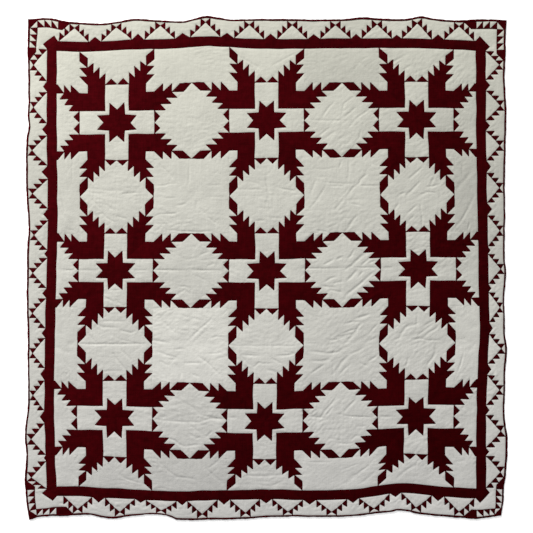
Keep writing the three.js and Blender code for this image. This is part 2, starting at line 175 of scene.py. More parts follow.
# How far each seam line stands outside its straight place, away from the middle.
# Columns: place along the line, how far out.
EDGE_WAVES = {
    "top": [
        (-1060, 4), (-986, 9), (-907, -6), (-779, -15), (-676, -9), (-596, 4), (-486, -2),
        (-376, -5), (-321, 8), (-267, 18), (-213, 10), (-159, 2), (15, 4), (328, 2),
        (428, 13), (510, 7), (625, 4), (693, 15), (740, 7), (844, -1), (974, 4), (1066, -1),
    ],
    "bottom": [
        (-1060, 13), (-1021, 1), (-900, -4), (-796, -9), (-691, 8), (-633, 2), (-553, -9),
        (-472, -11), (-419, 1), (-392, 13), (-227, 12), (-82, 8), (34, -1), (293, 1),
        (375, -3), (490, -15), (553, -21), (589, -30), (635, -24), (687, -13), (779, -4),
        (866, 5), (918, 10), (982, 5), (1066, -5),
    ],
    "left": [
        (1110, -5), (992, -2), (869, -5), (762, -7), (695, -2), (644, -6), (592, 1),
        (480, 4), (329, 1), (196, -8), (124, -3), (21, -1), (-133, 1), (-299, -2),
        (-450, -5), (-624, -3), (-757, 9), (-843, 3), (-930, 10), (-999, 7), (-1069, -1),
        (-1110, -10),
    ],
    "right": [
        (1110, 5), (912, -1), (809, -1), (697, 5), (519, 1), (394, -1), (170, -1), (41, -1),
        (-17, 4), (-116, -2), (-299, -1), (-361, 7), (-477, 0), (-683, -3), (-714, 0),
        (-772, 9), (-853, 9), (-924, 3), (-987, -6), (-1045, -9), (-1110, -18),
    ],
}
# The same for the frame strips, which keep their width
FRAME_WAVES = {
    "top": [
        (-1010, 2), (-985, 0), (-950, -8), (-936, -10), (-778, -12), (-599, -2), (-400, 2),
        (-268, 12), (-60, 2), (100, 1), (400, 3), (680, 3), (935, -8),
    ],
    "bottom": [
        (-1010, 6), (-985, 4), (-950, -6), (-930, -8), (-840, -8), (-675, 2), (-400, 15),
        (-190, 10), (20, 7), (170, 11), (397, 5), (600, -21), (781, -6), (932, 3),
    ],
    "left": [
        (1045, -13), (1010, -8), (974, -4), (528, -4), (215, -7), (-321, 5), (-625, 8),
        (-830, 3), (-978, -4),
    ],
    "right": [
        (974, -2), (831, -1), (519, 0), (394, 3), (170, 7), (-89, 11), (-299, 14),
        (-477, 6), (-683, 1), (-987, 0),
    ],
}
# How far each star's centre stands from its even place, as (right, up).
# Rows: the top, middle and bottom stars. Columns: the left, middle and right stars.
STAR_SHIFTS = [
    [(4, -13), (2, -2), (2, 1)],
    [(-5, -3), (4, -5), (11, 4)],
    [(-7, 10), (-7, -8), (-1, 16)],
]
# Tips of the border pyramids along each side, on the real quilt
PYRAMID_TIPS = {
    "top": [-856, -669, -472, -271, -75, 117, 310, 496, 675, 862],
    "bottom": [-842, -653, -469, -285, -92, 98, 293, 483, 670, 862],
    "left": [907, 718, 526, 333, 147, -22, -202, -381, -569, -765, -936],
    "right": [908, 726, 547, 358, 167, -4, -176, -360, -545, -729, -912],
}
SIDES = ("top", "right", "bottom", "left")

# Lasting fold creases across the cloth, each a soft trough.
# Columns: place of the crease, its depth, its half width.
FOLDS_ACROSS = [(330, 0.3, 30), (-10, 0.6, 22), (-336, 0.5, 24), (-672, 0.5, 24)]
FOLDS_DOWN = [(-335, 0.3, 28), (5, 0.4, 26), (335, 0.3, 28)]

# Single creases on the real quilt, each a soft trough through the places in its row. The
# places are on its darker side, which is half its width above its bottom.
# Columns: depth, half width, then x and y of each place in turn.
CREASES = [
    # Upper right turned square, and the one above it on its right
    (1.7, 4, 249, 670, 275, 715, 305, 744), (1.7, 4, 342, 707, 349, 737, 394, 770),
    (1.4, 4, 349, 677, 379, 700, 401, 722), (1.7, 4, 401, 670, 468, 715),
    (1, 3.5, 205, 661, 349, 661), (1.2, 4, 364, 625, 394, 655), (1.4, 4, 230, 588, 290, 633),
    (1.4, 4, 245, 566, 312, 618), (1.2, 4, 282, 543, 349, 595), (1.5, 4, 416, 580, 424, 618),
    (1.5, 4, 535, 900, 632, 960), (1.2, 4, 560, 896, 600, 925), (1.2, 4, 595, 878, 647, 908),
    (0.9, 5, -142, 960, -23, 893), (0.9, 5, 29, 908, 141, 968), (0.9, 4, 349, 849, 446, 945),
    (0.8, 4, 290, 878, 334, 841),
    # Left square of the second row
    (0.9, 4, -690, 383, -654, 382, -636, 373), (0.9, 4, -800, 362, -700, 348, -620, 347),
    (0.9, 4, -795, 337, -702, 334), (1.7, 4, -642, 334, -574, 339),
    (1.7, 4.6, -776, 307, -744, 272), (1.7, 4.6, -720, 292, -681, 260),
    (2.1, 4, -761, 242, -729, 245, -714, 227, -678, 208), (1.7, 4, -666, 233, -622, 221),
    (1.7, 4.6, -925, 360, -910, 307, -898, 262), (1.7, 4, -928, 266, -898, 230),
    (1.7, 4, -898, 178, -860, 170), (0.6, 4, -866, 480, -866, 380),
    # Upper left large square
    (1.8, 3.3, -344, 454, -344, 422, -344, 377), (1.4, 4.6, -472, 460, -440, 432, -417, 404),
    (1.4, 3.3, -497, 368, -452, 371, -437, 377, -401, 378), (1.4, 3.3, -452, 315, -405, 315),
    (2.1, 3.3, -497, 234, -478, 243, -401, 245), (0.9, 3.3, -503, 199, -440, 199),
    (1.4, 5.3, -401, 282, -382, 283, -357, 291), (1.4, 4.6, -309, 307, -309, 272),
    (1.4, 4.6, -293, 266, -268, 243, -258, 227), (1.8, 4, -258, 227, -220, 200),
    (1.2, 3.3, -264, 371, -200, 372), (1.2, 3.3, -261, 321, -188, 317),
    (1.4, 4.6, -446, 173, -376, 167, -299, 163, -242, 167),
    # Middle square of the second row
    (1.7, 4, -2, 409, 4, 370, 16, 343), (0.9, 4, 11, 337, 11, 301, 22, 242),
    (0.9, 4, -82, 389, -44, 382, -17, 367), (1.2, 4, -124, 354, -10, 352),
    (1.7, 4, 60, 359, 129, 346), (1.7, 4, 25, 227, 66, 224), (1.7, 4, -50, 213, -5, 215),
    # Upper right large square
    (1.5, 4, 370, 486, 370, 432, 364, 393), (1.5, 4, 338, 483, 328, 451),
    (2.1, 4.6, 440, 435, 450, 421, 424, 400, 415, 380, 392, 365, 373, 342, 357, 320),
    (1.8, 3.3, 287, 369, 348, 368), (2, 3.2, 418, 369, 505, 369),
    (1.4, 3.3, 258, 383, 341, 379, 405, 379), (1.7, 5.3, 223, 396, 211, 368, 201, 339),
    (1.5, 4.6, 268, 374, 252, 345, 226, 304, 195, 269), (0.9, 3.3, 214, 444, 271, 444, 309, 451),
    (0.9, 3.3, 223, 409, 277, 409), (1.4, 4.6, 348, 307, 328, 288, 309, 264),
    (0.9, 4, 360, 304, 421, 310), (1.4, 4, 379, 290, 430, 281),
    (2.5, 5.3, 408, 237, 383, 211, 373, 189, 351, 163), (1.4, 4.6, 223, 171, 271, 165),
    # Right square of the second row
    (2.7, 4.6, 629, 328, 685, 385), (2.2, 4, 595, 330, 623, 340), (2.2, 4, 638, 400, 694, 450),
    (2.2, 3.3, 688, 331, 715, 337), (2.2, 3.3, 706, 342, 757, 338),
    (2.2, 4, 718, 364, 757, 370, 775, 377), (2.2, 4, 733, 370, 751, 409),
    (2.3, 4, 632, 245, 673, 283), (2.2, 4, 575, 266, 593, 292), (2.2, 4, 635, 212, 662, 236),
    (2.3, 4, 691, 298, 690, 266, 697, 236, 697, 170), (1.3, 4, 769, 266, 772, 230),
    (2.2, 4.6, 840, 337, 864, 370, 918, 435), (2.2, 4, 903, 367, 932, 349),
    (2.7, 4.6, 837, 176, 870, 212, 888, 242, 906, 275, 930, 325), (2.2, 4, 909, 206, 900, 170),
    (0.8, 4, 876, 471, 876, 408),
    # Along the middle fold
    (1.7, 3.3, -925, -8, -863, -8), (1.7, 3.3, -836, -8, -752, -8), (1.7, 3.3, -606, -8, -523, -8),
    (2, 3.3, -502, -8, -434, -7, -365, -9), (1.8, 3.3, -330, -8, -204, -8),
    (1.7, 4.6, -729, -122, -681, -149), (1.7, 4, -672, -137, -654, -157),
    (1.7, 3.3, 160, 1, 207, 0, 286, 0, 350, 3), (2.1, 3.3, 395, 4, 446, 4, 500, 5),
    (1.8, 3.3, 519, 3, 562, 3),
    # Left square of the middle row
    (1.7, 4, -261, 12, -234, 21), (1.7, 4, -300, 57, -258, 75), (0.9, 4, -294, 36, -234, 42),
    (0.6, 4, -425, 78, -371, 48, -342, 36), (0.9, 4, -324, -41, -309, -35, -267, -56),
    (1.7, 4, -386, -80, -362, -80, -345, -89),
    (1.7, 4, -401, -122, -386, -107, -362, -95, -342, -113),
    # Right square of the middle row
    (3.2, 5.3, 357, -2, 382, 14, 401, 32, 424, 54, 446, 67), (2.3, 4, 424, 12, 446, 32, 468, 51),
    (2.2, 4, 462, 25, 487, 35), (2.9, 4.6, 261, 19, 286, 32, 302, 41), (2.7, 4, 315, 41, 341, 52),
    (2.3, 4, 395, 86, 379, 57, 366, 44), (3.2, 5.3, 363, -51, 382, -35, 395, -19, 404, -10),
    (2.2, 4, 414, -35, 433, -13), (2.3, 4, 267, -59, 286, -45, 309, -37),
    (2.2, 4, 299, -67, 344, -58), (2.3, 4, 251, -77, 280, -83, 309, -83),
    (2.6, 4, 286, -96, 318, -102, 337, -106),
    (3.1, 5.3, 357, -118, 382, -99, 414, -74, 446, -45, 478, -16),
    # Left square of the fourth row
    (2.7, 4, -827, -337, -700, -338, -541, -336), (1.2, 4, -681, -303, -651, -318, -577, -333),
    (2.2, 4.6, -797, -288, -761, -330), (2.2, 4, -726, -236, -633, -235),
    (2.2, 4, -753, -250, -732, -262, -702, -263, -660, -265),
    (2.2, 4, -651, -276, -604, -288, -583, -279), (2.7, 4.6, -684, -378, -669, -404, -627, -452),
    (2.2, 4, -648, -363, -604, -407), (1.2, 4, -720, -458, -650, -458),
    (2.2, 5.3, -937, -351, -898, -372, -872, -372), (2.2, 4, -887, -339, -854, -333),
    (2.2, 4, -901, -407, -875, -449), (1.2, 4, -940, -279, -904, -297),
    # Lower left large square
    (1.8, 5.9, -505, -322, -435, -329), (2, 3.3, -411, -361, -363, -360),
    (2.1, 4.6, -481, -371, -449, -385, -401, -398), (1.5, 4, -433, -407, -401, -407),
    (1.7, 4.6, -472, -414, -440, -433), (2.1, 5.3, -405, -427, -389, -449, -379, -468, -382, -487),
    (2, 4, -366, -422, -293, -422), (1.5, 4.6, -331, -471, -299, -484),
    (1.4, 5.3, -478, -206, -456, -241, -424, -270, -401, -289),
    (1.7, 4.6, -242, -222, -268, -248, -293, -267, -325, -299, -335, -312),
    (2.1, 4.6, -322, -366, -299, -395, -258, -423, -236, -446, -210, -471),
    (1.5, 4, -236, -305, -188, -305), (1.8, 3.3, -258, -381, -223, -380, -188, -374),
    (1.4, 3.3, -226, -404, -185, -396),
    # Middle square of the fourth row
    (0.9, 3.3, -165, -345, -29, -346), (1.2, 3.3, -29, -346, 129, -346),
    (2.5, 4.6, -110, -385, -75, -388, -32, -390), (2.4, 4.6, 48, -390, 90, -388, 126, -381),
    (0.9, 3.3, -82, -376, -29, -381), (1.5, 3.3, 84, -373, 126, -378),
    (1.8, 4.6, -112, -390, -95, -410, -80, -430),
    (1.8, 4, -73, -429, -53, -440, -32, -420, -17, -425, 25, -424),
    (2.1, 4, 25, -402, 54, -417, 75, -429), (2.1, 5.3, 7, -452, 48, -464),
    # Lower right large square
    (2.1, 5.3, 392, -226, 421, -216, 462, -205), (1.8, 4, 348, -248, 386, -238, 427, -238),
    (2, 5.3, 424, -241, 402, -280, 373, -312, 354, -334),
    (2.1, 3.3, 328, -296, 367, -280, 405, -270), (1.7, 3.3, 309, -305, 341, -302, 386, -293),
    (1.8, 3.3, 277, -321, 316, -318, 354, -305), (0.9, 3.3, 271, -344, 297, -337, 328, -324),
    (0.9, 3.3, 175, -336, 239, -336),
    (2.4, 4.6, 190, -368, 214, -371, 277, -379, 328, -372, 348, -350),
    (2.4, 5.3, 207, -411, 239, -414, 281, -407), (2.1, 4.6, 207, -465, 230, -449, 258, -430),
    (1.4, 4.6, 300, -417, 300, -487), (2.5, 5.3, 319, -452, 335, -420, 367, -391),
    (1.8, 4, 322, -481, 354, -446, 376, -427), (1.8, 4.6, 379, -382, 415, -366, 443, -350),
    (1.4, 4, 462, -324, 494, -305), (2.1, 3.3, 462, -289, 478, -270, 497, -251),
    (2.1, 4, 456, -417, 494, -391), (1.7, 4.6, 424, -423, 453, -436),
    # Right square of the fourth row
    (2.2, 5.9, 579, -318, 596, -309, 614, -274, 629, -259, 656, -244),
    (1.8, 4, 629, -262, 668, -250, 680, -244), (1.8, 4, 674, -202, 674, -256),
    (1.8, 4, 704, -259, 727, -244, 748, -232), (1.8, 3.3, 680, -297, 715, -271, 745, -250),
    (2.5, 4, 698, -312, 724, -288, 757, -271, 772, -253),
    (1.8, 3.3, 638, -315, 698, -314, 715, -321, 781, -321), (2.2, 4.6, 635, -399, 626, -440),
    (1.7, 5.3, 757, -339, 757, -369, 745, -402), (2.1, 5.3, 757, -381, 727, -420, 718, -435),
    (1.8, 4, 846, -327, 864, -318, 906, -309), (1.8, 4, 864, -342, 906, -333, 942, -330),
    (2.4, 5.3, 876, -363, 906, -366, 930, -345), (2, 4.6, 879, -387, 870, -426, 858, -455),
    (1.7, 4, 918, -257, 948, -257), (1.7, 4.6, 656, -503, 662, -530),
    # Lower row of turned squares
    (2.1, 4, -496, -675, -431, -681, -365, -686, -300, -687, -258, -675),
    (2.5, 4.6, -262, -671, -222, -672, -187, -672), (2.1, 4, -297, -653, -252, -665, -205, -671),
    (1.7, 5.3, -479, -662, -449, -662), (0.9, 5.3, -398, -559, -383, -586, -371, -616),
    (1.5, 4.6, -365, -598, -330, -619, -312, -634, -300, -649),
    (1.4, 4, -344, -696, -318, -717, -300, -729), (1.8, 4, -339, -741, -312, -759, -294, -753),
    (1.5, 4, -282, -744, -252, -753), (2.4, 4.6, -434, -759, -407, -768, -389, -786, -359, -795),
    (2.1, 4.6, -353, -792, -300, -786), (1.7, 4.6, -264, -747, -240, -726),
    (2.1, 4.6, -166, -666, -133, -666), (2.5, 4.6, 200, -663, 263, -666),
    (2.1, 4, 316, -650, 346, -653), (2.1, 3.3, 346, -657, 388, -662, 436, -663, 468, -665),
    (2.4, 4.6, 316, -571, 293, -604, 266, -631, 248, -660),
    (1.7, 4, 299, -619, 281, -640, 269, -657), (2.1, 4, 403, -583, 376, -610, 349, -638),
    (0.9, 4, 239, -729, 269, -720, 316, -723), (1.4, 4, 281, -759, 305, -762, 334, -769),
    (1.7, 4, 382, -765, 400, -747, 418, -747), (2.1, 4, 316, -780, 358, -784, 382, -780),
    (1.2, 4, 403, -705, 448, -705), (2.4, 4, 513, -663, 555, -663),
    # Bottom row
    (1.7, 4.6, -869, -902, -841, -947), (1.7, 4, -656, -919, -623, -941, -567, -958),
    (1.8, 4.6, -500, -841, -439, -902, -399, -930, -315, -941), (1, 4.6, -422, -885, -377, -858),
    (1.7, 4, -310, -852, -265, -897, -220, -936, -180, -972), (1.5, 4, -254, -891, -198, -846),
    (1.7, 4, -83, -925, 0, -928, 74, -922), (0.9, 4, -68, -906, 22, -902),
    (1.7, 4, 22, -973, 81, -947), (0.9, 4, 185, -865, 290, -865), (0.9, 4, 334, -902, 409, -872),
    (1.7, 4.6, 349, -962, 416, -910, 461, -880), (1.7, 4.6, 424, -962, 483, -910),
    (1.8, 4.6, 580, -940, 632, -895, 669, -880), (1.7, 4.6, 721, -895, 733, -947),
    (1.7, 4, 841, -865, 893, -857),
]

# Patches of loose cloth with many wrinkles side by side.
# Columns: middle x, middle y, radius, direction of the wrinkles in degrees, spacing, depth.
CRUMPLES = [
    (345, 330, 160, 85, 22, 0.26), (345, 5, 140, 33, 22, 0.35), (345, 660, 115, 48, 21, 0.55),
    (600, 880, 110, 42, 21, 0.7), (720, 800, 90, 30, 22, 0.5), (890, 850, 90, 60, 24, 0.5),
    (670, 330, 140, 35, 20, 0.36), (670, 0, 150, 10, 24, 0.42), (880, 0, 90, 40, 24, 0.5),
    (880, 660, 90, 35, 24, 0.5), (670, -340, 150, 40, 20, 0.34), (345, -340, 170, 42, 24, 0.3),
    (345, -670, 150, 45, 21, 0.34), (670, -850, 120, 30, 22, 0.42), (880, -670, 90, 30, 22, 0.45),
    (345, -900, 140, 35, 22, 0.4), (-340, -900, 140, -30, 24, 0.34),
    (-670, -340, 140, 20, 24, 0.28), (0, -340, 150, 15, 22, 0.26), (-5, 330, 150, 5, 24, 0.28),
    (-345, -5, 150, 8, 24, 0.28), (-670, 330, 140, -10, 26, 0.26), (-345, 660, 150, 80, 26, 0.28),
    (0, -850, 160, 20, 22, 0.34), (-670, -850, 160, -30, 24, 0.34), (190, -250, 75, 0, 18, 0.4),
    (235, 0, 60, 8, 20, 0.34),
]

# Seeds of what is uneven by chance
WAVER_SEED = 11
BILLOW_SEED = 23
CRINKLE_SEED = 37
CRUMPLE_SEED = 41
PUCKER_SEED = 47
PATCH_SEED = 53
BINDING_SEED = 61

# Unevenness of the handwork and of the washed cloth
WAVER = 0.8  # how far a seam wanders between its corners
WAVER_LENGTHS = (70, 260)
BILLOW = 0.5  # slow rise and fall of the whole cloth
BILLOW_LENGTHS = (130, 420)
PUCKER = 0.22  # lumps of the padding between lines of stitches
PUCKER_LENGTHS = (50, 130)
CRINKLE = 0.38  # net of fine creases from washing
CRINKLE_LENGTHS = (22, 75)
CALM_LENGTHS = (180, 600)  # slow change in how deep that net is
CALM_SHARES = (0.6, 0.4)  # the net's depth without that change, and with it
NET_ROUNDING = 0.05  # how round the bottom of its creases is
NET_MEAN = 0.8  # taken off, so that the net doesn't lift the cloth
LIVELY_SHARES = (0.3, 0.7)  # unevenness that doesn't change with liveliness, and that does
# First direction square on the creases, and the spread from there
LEVEL_CREASES = math.radians(50), math.radians(80)
SLANTING_CREASES = math.radians(95), math.radians(75)
SLANTING = (-250, 350)  # from left to right, where the level creases give way to slanting ones
WRINKLE_PARTS = (1.0, 0.62)  # size and spacing of the two sets of wrinkles in a crumple
WRINKLE_LEAN = 0.3
WRINKLE_BENDS = (90, 160)
WRINKLE_SPACINGS = (0.9, 1.2)
WRINKLE_SWAYS = (1.6, 1.1)  # how far a wrinkle bends along it, and its neighbours with it
WRINKLE_SHARPNESS = 2.8  # how narrow a wrinkle is against its spacing
CREASE_TAPER = 0.25  # share of a crease's length over which each of its ends gets shallower
CREASE_END = 0.4  # share of its depth that is left at an end
RIPPLE = 0.24  # puckers that run out from a seam
RIPPLE_LENGTHS = (13, 30)
RIPPLE_PARTS = (1.0, 0.6)  # height of the two sets of puckers at a seam
RIPPLE_REACH = 17
RIPPLE_START = 2.5  # how far from a seam its ripples start

# Places where the white patches are painted lighter or darker than round them. The darker ones near the edges are
# painted shade, where the light falls off towards them.
# Columns: x, y, reach, share by which its patches are lighter.
SHADE_AND_TONE_SPOTS = [
    (-335, -343, 190, 0.16), (0, -340, 120, 0.05), (-335, -920, 190, -0.10),
    (-60, -930, 170, -0.06), (-650, -930, 150, -0.06), (-1000, 300, 300, -0.05),
    (340, 900, 200, -0.09), (930, 560, 320, -0.10), (930, 150, 220, -0.09),
    (930, -330, 220, 0.05), (-670, -670, 150, 0.05),
]

# How lively the cloth is, since its upper part was pulled flatter than the rest.
# Columns: height on the quilt, then the share of unevenness at its left, middle and right.
LIVELY_PLACES = (-800, 0, 800)
LIVELINESS = [
    (-990, 1.2, 1.2, 1.1),
    (-670, 1.2, 1.2, 1.1),
    (-340, 1.2, 1.2, 1.2),
    (0, 1.2, 1.1, 1.3),
    (330, 1.1, 0.9, 1.2),
    (660, 0.8, 0.8, 1.0),
    (990, 0.7, 0.7, 0.9),
]

# Sewing and padding
SOFT_SEAM = 0.3  # share of the pull of a seam between two patches of one colour
SEAM_PLACES = 12  # places along a seam where its neighbour is looked up
PRESSED = 0.9  # how far a red patch, with the seam allowances under it, laps on a white one
PRESSED_LIFT = 0.3
PUFF_SLOPE = 6.5  # how fast the cloth rises from a seam
# Painted shade: within this reach of a seam the cloth is painted darker, where shade falls in the seam's ditch.
SEAM_SHADE_REACH = 3.5  # how far from a seam the cloth looks darker
PAST_SEAM = 1.6  # how far outside of a seam its neighbour is looked up
NEAR_ENOUGH = 0.05  # corners and sides this close are taken as one
SMALLEST_CUT = 4  # square millimetres, below which a cut at the field's edge is left out
RIM_SLOPE = 8  # how fast the thicker bank beside the binding falls off
CROWN_SLOPE = 60  # how fast the middle of a large patch goes on rising
LINE_DEPTH = 0.55  # depth of a sewn quilting line between parts of one square
LINE_WIDTH = 5
LINE_WANDER = 2.2  # how far a quilting line strays
DRAWN_IN = (0.55, 0.45)  # share of a line's depth that is even, and that goes with the lumps
STRAY_LENGTHS = (60, 200)
CREASE_LIMIT = 3.0  # creases that cross add up to no more than this depth
KEY_DEPTH = 0.28  # depth of the light quilting lines inside a square
KEY_WIDTH = 5
KEY_SPACING = 42
KEY_GAP = 3  # from each end of such a line to the seams
LINE_INSET = 8  # from a seam to the quilting line beside it
CHEVRON_INSET = 12
PYRAMID_INSET = 13
UNDER_Z = 0.9  # underside of the patches, which is inside the backing
BACKING_Z = 1.1  # top of the backing inside the quilt
TURN_UNDER = 9  # width of the binding on the back
TURN_Z = 0.9  # thickness of the binding on the back
BINDING_STEP = 6
BINDING_SWELL = 0.035  # how much the binding's section grows and shrinks along it
SWELL_LENGTHS = (19, 31, 47, 83)
SWELL_CLEAR = 40  # how far from a corner the swell is whole
BACK_LINES = 60  # even lines of the back's grid each way
BACK_INSET = 30  # from the rim to the first of them
RIM_LINES = (-1.5, TURN_UNDER - 1, TURN_UNDER + 2)  # the lines beside the rim, inwards from it
STITCH_WIDTH = 0.7
STITCH_HEIGHT = 0.35
STITCH_LENGTHS = (0.85, 1.15)
STITCH_SINK = 0.15  # how deep its ends sink into the cloth
STITCH_DEPTH = 0.3  # how far it reaches under the cloth in its middle
STITCH_SLIP = 0.4  # how far it strays along its line
STITCH_STRAY = 0.25  # how far it strays across the line

# The field's outer pieces are drafted whole, out to a line, and were eased in to fit the
# frame. Columns: where the easing starts and where it ends, from the outer stars' centres.
EASED = {"left": (200, 288), "right": (200, 288), "top": (245, 335), "bottom": (200, 335)}

# Places on a star, as shares of its span: a point, out and aside, and the notches on an axis
# and on a diagonal
STAR_POINT = (0.5, 0.185)
STAR_NOTCHES = (0.333, 0.2)

# Border and its corners
PYRAMID_RISE = 60
TEETH = 3
FOOT_GAP = 4  # white that is left beside the small triangle on the frame
SMALL_RISE = 0.4  # height of that triangle against its base
CORNER_CELL = 29.5
CAP = 25  # width of the strip that caps a corner of the frame
CORNER_INSET = 14  # shortest inner side of the dark piece at the end of a corner's teeth
CORNER_CLEAR = 3  # from a border corner to the nearest pyramid
FRAME_LENGTHS = 22  # short lengths that a frame strip is worked out in

# Largest cells of the meshes
CELL_WHITE = 3.8
CELL_GROUND = 5.2
CELL_RED = 6.0
CELL_SMALL = 4.8
CELL_FRAME = 6.2
EDGE_CROWDING = 1.12  # above 1, mesh lines stand closer together beside the seams


class QuiltSizes(bpy.types.PropertyGroup):
    """Sizes of the piecing, padding, binding and stitches."""

    block: FloatProperty(
        name="Block", description="Pitch of the star blocks", default=0.670, unit="LENGTH"
    )
    middle_y: FloatProperty(
        name="Middle star", description="Height of the middle star on the quilt",
        default=-0.008, unit="LENGTH",
    )
    arm: FloatProperty(
        name="Arm", description="Half the width of a cross arm", default=0.053, unit="LENGTH"
    )
    strip: FloatProperty(
        name="Feather strip", description="Width of a strip of feather triangles",
        default=0.037, unit="LENGTH",
    )
    star_span: FloatProperty(
        name="Star", description="Point to point across a star", default=0.175, unit="LENGTH"
    )
    field_side: FloatProperty(
        name="Side field", description="From the outer stars to the frame, left and right",
        default=0.2688, unit="LENGTH",
    )
    field_top: FloatProperty(
        name="Top field", description="From the top stars to the frame",
        default=0.317, unit="LENGTH",
    )
    field_bottom: FloatProperty(
        name="Bottom field", description="From the bottom stars to the frame",
        default=0.304, unit="LENGTH",
    )
    frame_width: FloatProperty(
        name="Frame strip", description="Width of the dark frame strips",
        default=0.0445, unit="LENGTH",
    )
    border: FloatProperty(
        name="Border", description="Width of the pieced border", default=0.0767, unit="LENGTH"
    )
    pyramid: FloatProperty(
        name="Pyramid", description="Base of a border pyramid", default=0.134, unit="LENGTH"
    )
    binding: FloatProperty(
        name="Binding", description="Width of the binding on the face",
        default=0.0090, unit="LENGTH",
    )
    seam_height: FloatProperty(
        name="Seam height", description="Thickness of the quilt along a seam",
        default=0.0044, unit="LENGTH",
    )
    rim_height: FloatProperty(
        name="Rim height", description="Thickness of the quilt where the binding starts",
        default=0.0048, unit="LENGTH",
    )
    puff: FloatProperty(
        name="Puff", description="How far a patch rises above its seams",
        default=0.0014, unit="LENGTH",
    )
    crown: FloatProperty(
        name="Crown", description="How much higher the middle of a large patch stands",
        default=0.0007, unit="LENGTH",
    )
    binding_height: FloatProperty(
        name="Binding height", description="Height of the rolled binding",
        default=0.0064, unit="LENGTH",
    )
    stitch: FloatProperty(
        name="Stitch", description="Length of a quilting stitch", default=0.0028, unit="LENGTH"
    )
    stitch_pitch: FloatProperty(
        name="Stitch pitch", description="From one quilting stitch to the next",
        default=0.0058, unit="LENGTH",
    )


class QuiltColours(bpy.types.PropertyGroup):
    """Colours of the cloths and the thread, each at the two ends of the light that is painted across the quilt."""

    # Painted light: the white is warmer and lighter at the top, where the light falls, and cooler at the bottom.
    white: FloatVectorProperty(
        name="White cotton", description="Washed off white at the top", subtype="COLOR",
        default=(0.61, 0.606, 0.532), min=0, max=1,
    )
    white_low: FloatVectorProperty(
        name="Cooler white", description="Washed white at the bottom", subtype="COLOR",
        default=(0.60, 0.592, 0.576), min=0, max=1,
    )
    # Painted light and sheen: the dark red is lighter at the upper left, where the light falls, and deeper at the
    # lower right.
    red: FloatVectorProperty(
        name="Dark red cotton", description="Faded dark red at the upper left", subtype="COLOR",
        default=(0.057, 0.0011, 0.0028), min=0, max=1,
    )
    red_low: FloatVectorProperty(
        name="Deep red cotton", description="Deep dark red at the lower right", subtype="COLOR",
        default=(0.027, 0.0001, 0.0007), min=0, max=1,
    )


class QuiltStage(bpy.types.PropertyGroup):
    """Camera, lights and floor."""

    camera_height: FloatProperty(
        name="Camera height", description="Height of the camera over the quilt",
        default=6.0, unit="LENGTH",
    )
    view_width: FloatProperty(
        name="View width", description="Width of what the camera sees on the cloth",
        default=2.3807, unit="LENGTH",
    )
    view_x: FloatProperty(
        name="View centre x", description="Middle of the view", default=0.0018, unit="LENGTH"
    )
    view_y: FloatProperty(
        name="View centre y", description="Middle of the view", default=0.0071, unit="LENGTH"
    )
    key: FloatProperty(
        name="Key light", description="Strength of the low soft light", default=3.24
    )
    side_lamp: FloatProperty(
        name="Side lamp", description="Power of the lamp at the upper left corner",
        default=115, unit="POWER",
    )
    fill: FloatProperty(
        name="Fill light", description="Strength of the even light all round", default=0.30
    )


def curve_through(table):
    """A smooth curve through rows of (at, value): cubic pieces that have, at each row, the
    slope from the row before it to the row after it, and that are level past the ends."""
    at, value = np.array(sorted(table), float).T
    slope = np.empty_like(value)
    slope[1:-1] = (value[2:] - value[:-2]) / (at[2:] - at[:-2])
    slope[0] = (value[1] - value[0]) / (at[1] - at[0])
    slope[-1] = (value[-1] - value[-2]) / (at[-1] - at[-2])

    def curve(place):
        place = np.clip(place, at[0], at[-1])
        row = np.clip(np.searchsorted(at, place, side="right") - 1, 0, len(at) - 2)
        width = at[row + 1] - at[row]
        t = (place - at[row]) / width
        s = t * t * (3 - 2 * t)
        rise = t * (1 - t) ** 2 * slope[row] - t * t * (1 - t) * slope[row + 1]
        return value[row] * (1 - s) + value[row + 1] * s + width * rise

    return curve


EDGE_CURVES = {side: curve_through(table) for side, table in EDGE_WAVES.items()}
FRAME_CURVES = {side: curve_through(table) for side, table in FRAME_WAVES.items()}


def between(places, values, at):
    """The value at each point between lines that each have one, straight from line to line.
    places holds the lines in order, and values a row of all the points for each line."""
    places = np.asarray(places, float)
    line = np.clip(np.searchsorted(places, at) - 1, 0, len(places) - 2)
    t = np.clip((at - places[line]) / (places[line + 1] - places[line]), 0, 1)
    point = np.arange(len(at))
    return values[line, point] * (1 - t) + values[line + 1, point] * t


class Waves:
    """A sum of plane waves with seeded directions, lengths and phases. The longer ones are
    higher, and the sum has a root mean square of 1."""

    def __init__(self, seed, count, lengths, start=0.0, spread=math.tau):
        draw = np.random.default_rng(seed)
        length = lengths[0] * (lengths[1] / lengths[0]) ** draw.random(count)
        turn = start + draw.random(count) * spread
        self.along = np.stack([np.cos(turn), np.sin(turn)]) * math.tau / length
        self.phase = draw.random(count) * math.tau
        height = length ** 0.7
        self.height = height / math.sqrt((height ** 2).sum() / 2)

    def __call__(self, points):
        total = np.zeros(len(points))
        for along, phase, height in zip(self.along.T, self.phase, self.height):
            total += height * np.sin(points @ along + phase)
        return total


# Each has a seed, a count of waves and the lengths that they are between
waver_x = Waves(WAVER_SEED, 18, WAVER_LENGTHS)
waver_y = Waves(WAVER_SEED + 1, 18, WAVER_LENGTHS)
billow = Waves(BILLOW_SEED, 14, BILLOW_LENGTHS)
crinkle_level = Waves(CRINKLE_SEED, 22, CRINKLE_LENGTHS, *LEVEL_CREASES)
crinkle_slant = Waves(CRINKLE_SEED, 22, CRINKLE_LENGTHS, *SLANTING_CREASES)
calm = Waves(CRINKLE_SEED + 1, 10, CALM_LENGTHS)
pucker = Waves(PUCKER_SEED, 24, PUCKER_LENGTHS)
stray_x = Waves(WAVER_SEED + 2, 12, STRAY_LENGTHS)
stray_y = Waves(WAVER_SEED + 3, 12, STRAY_LENGTHS)


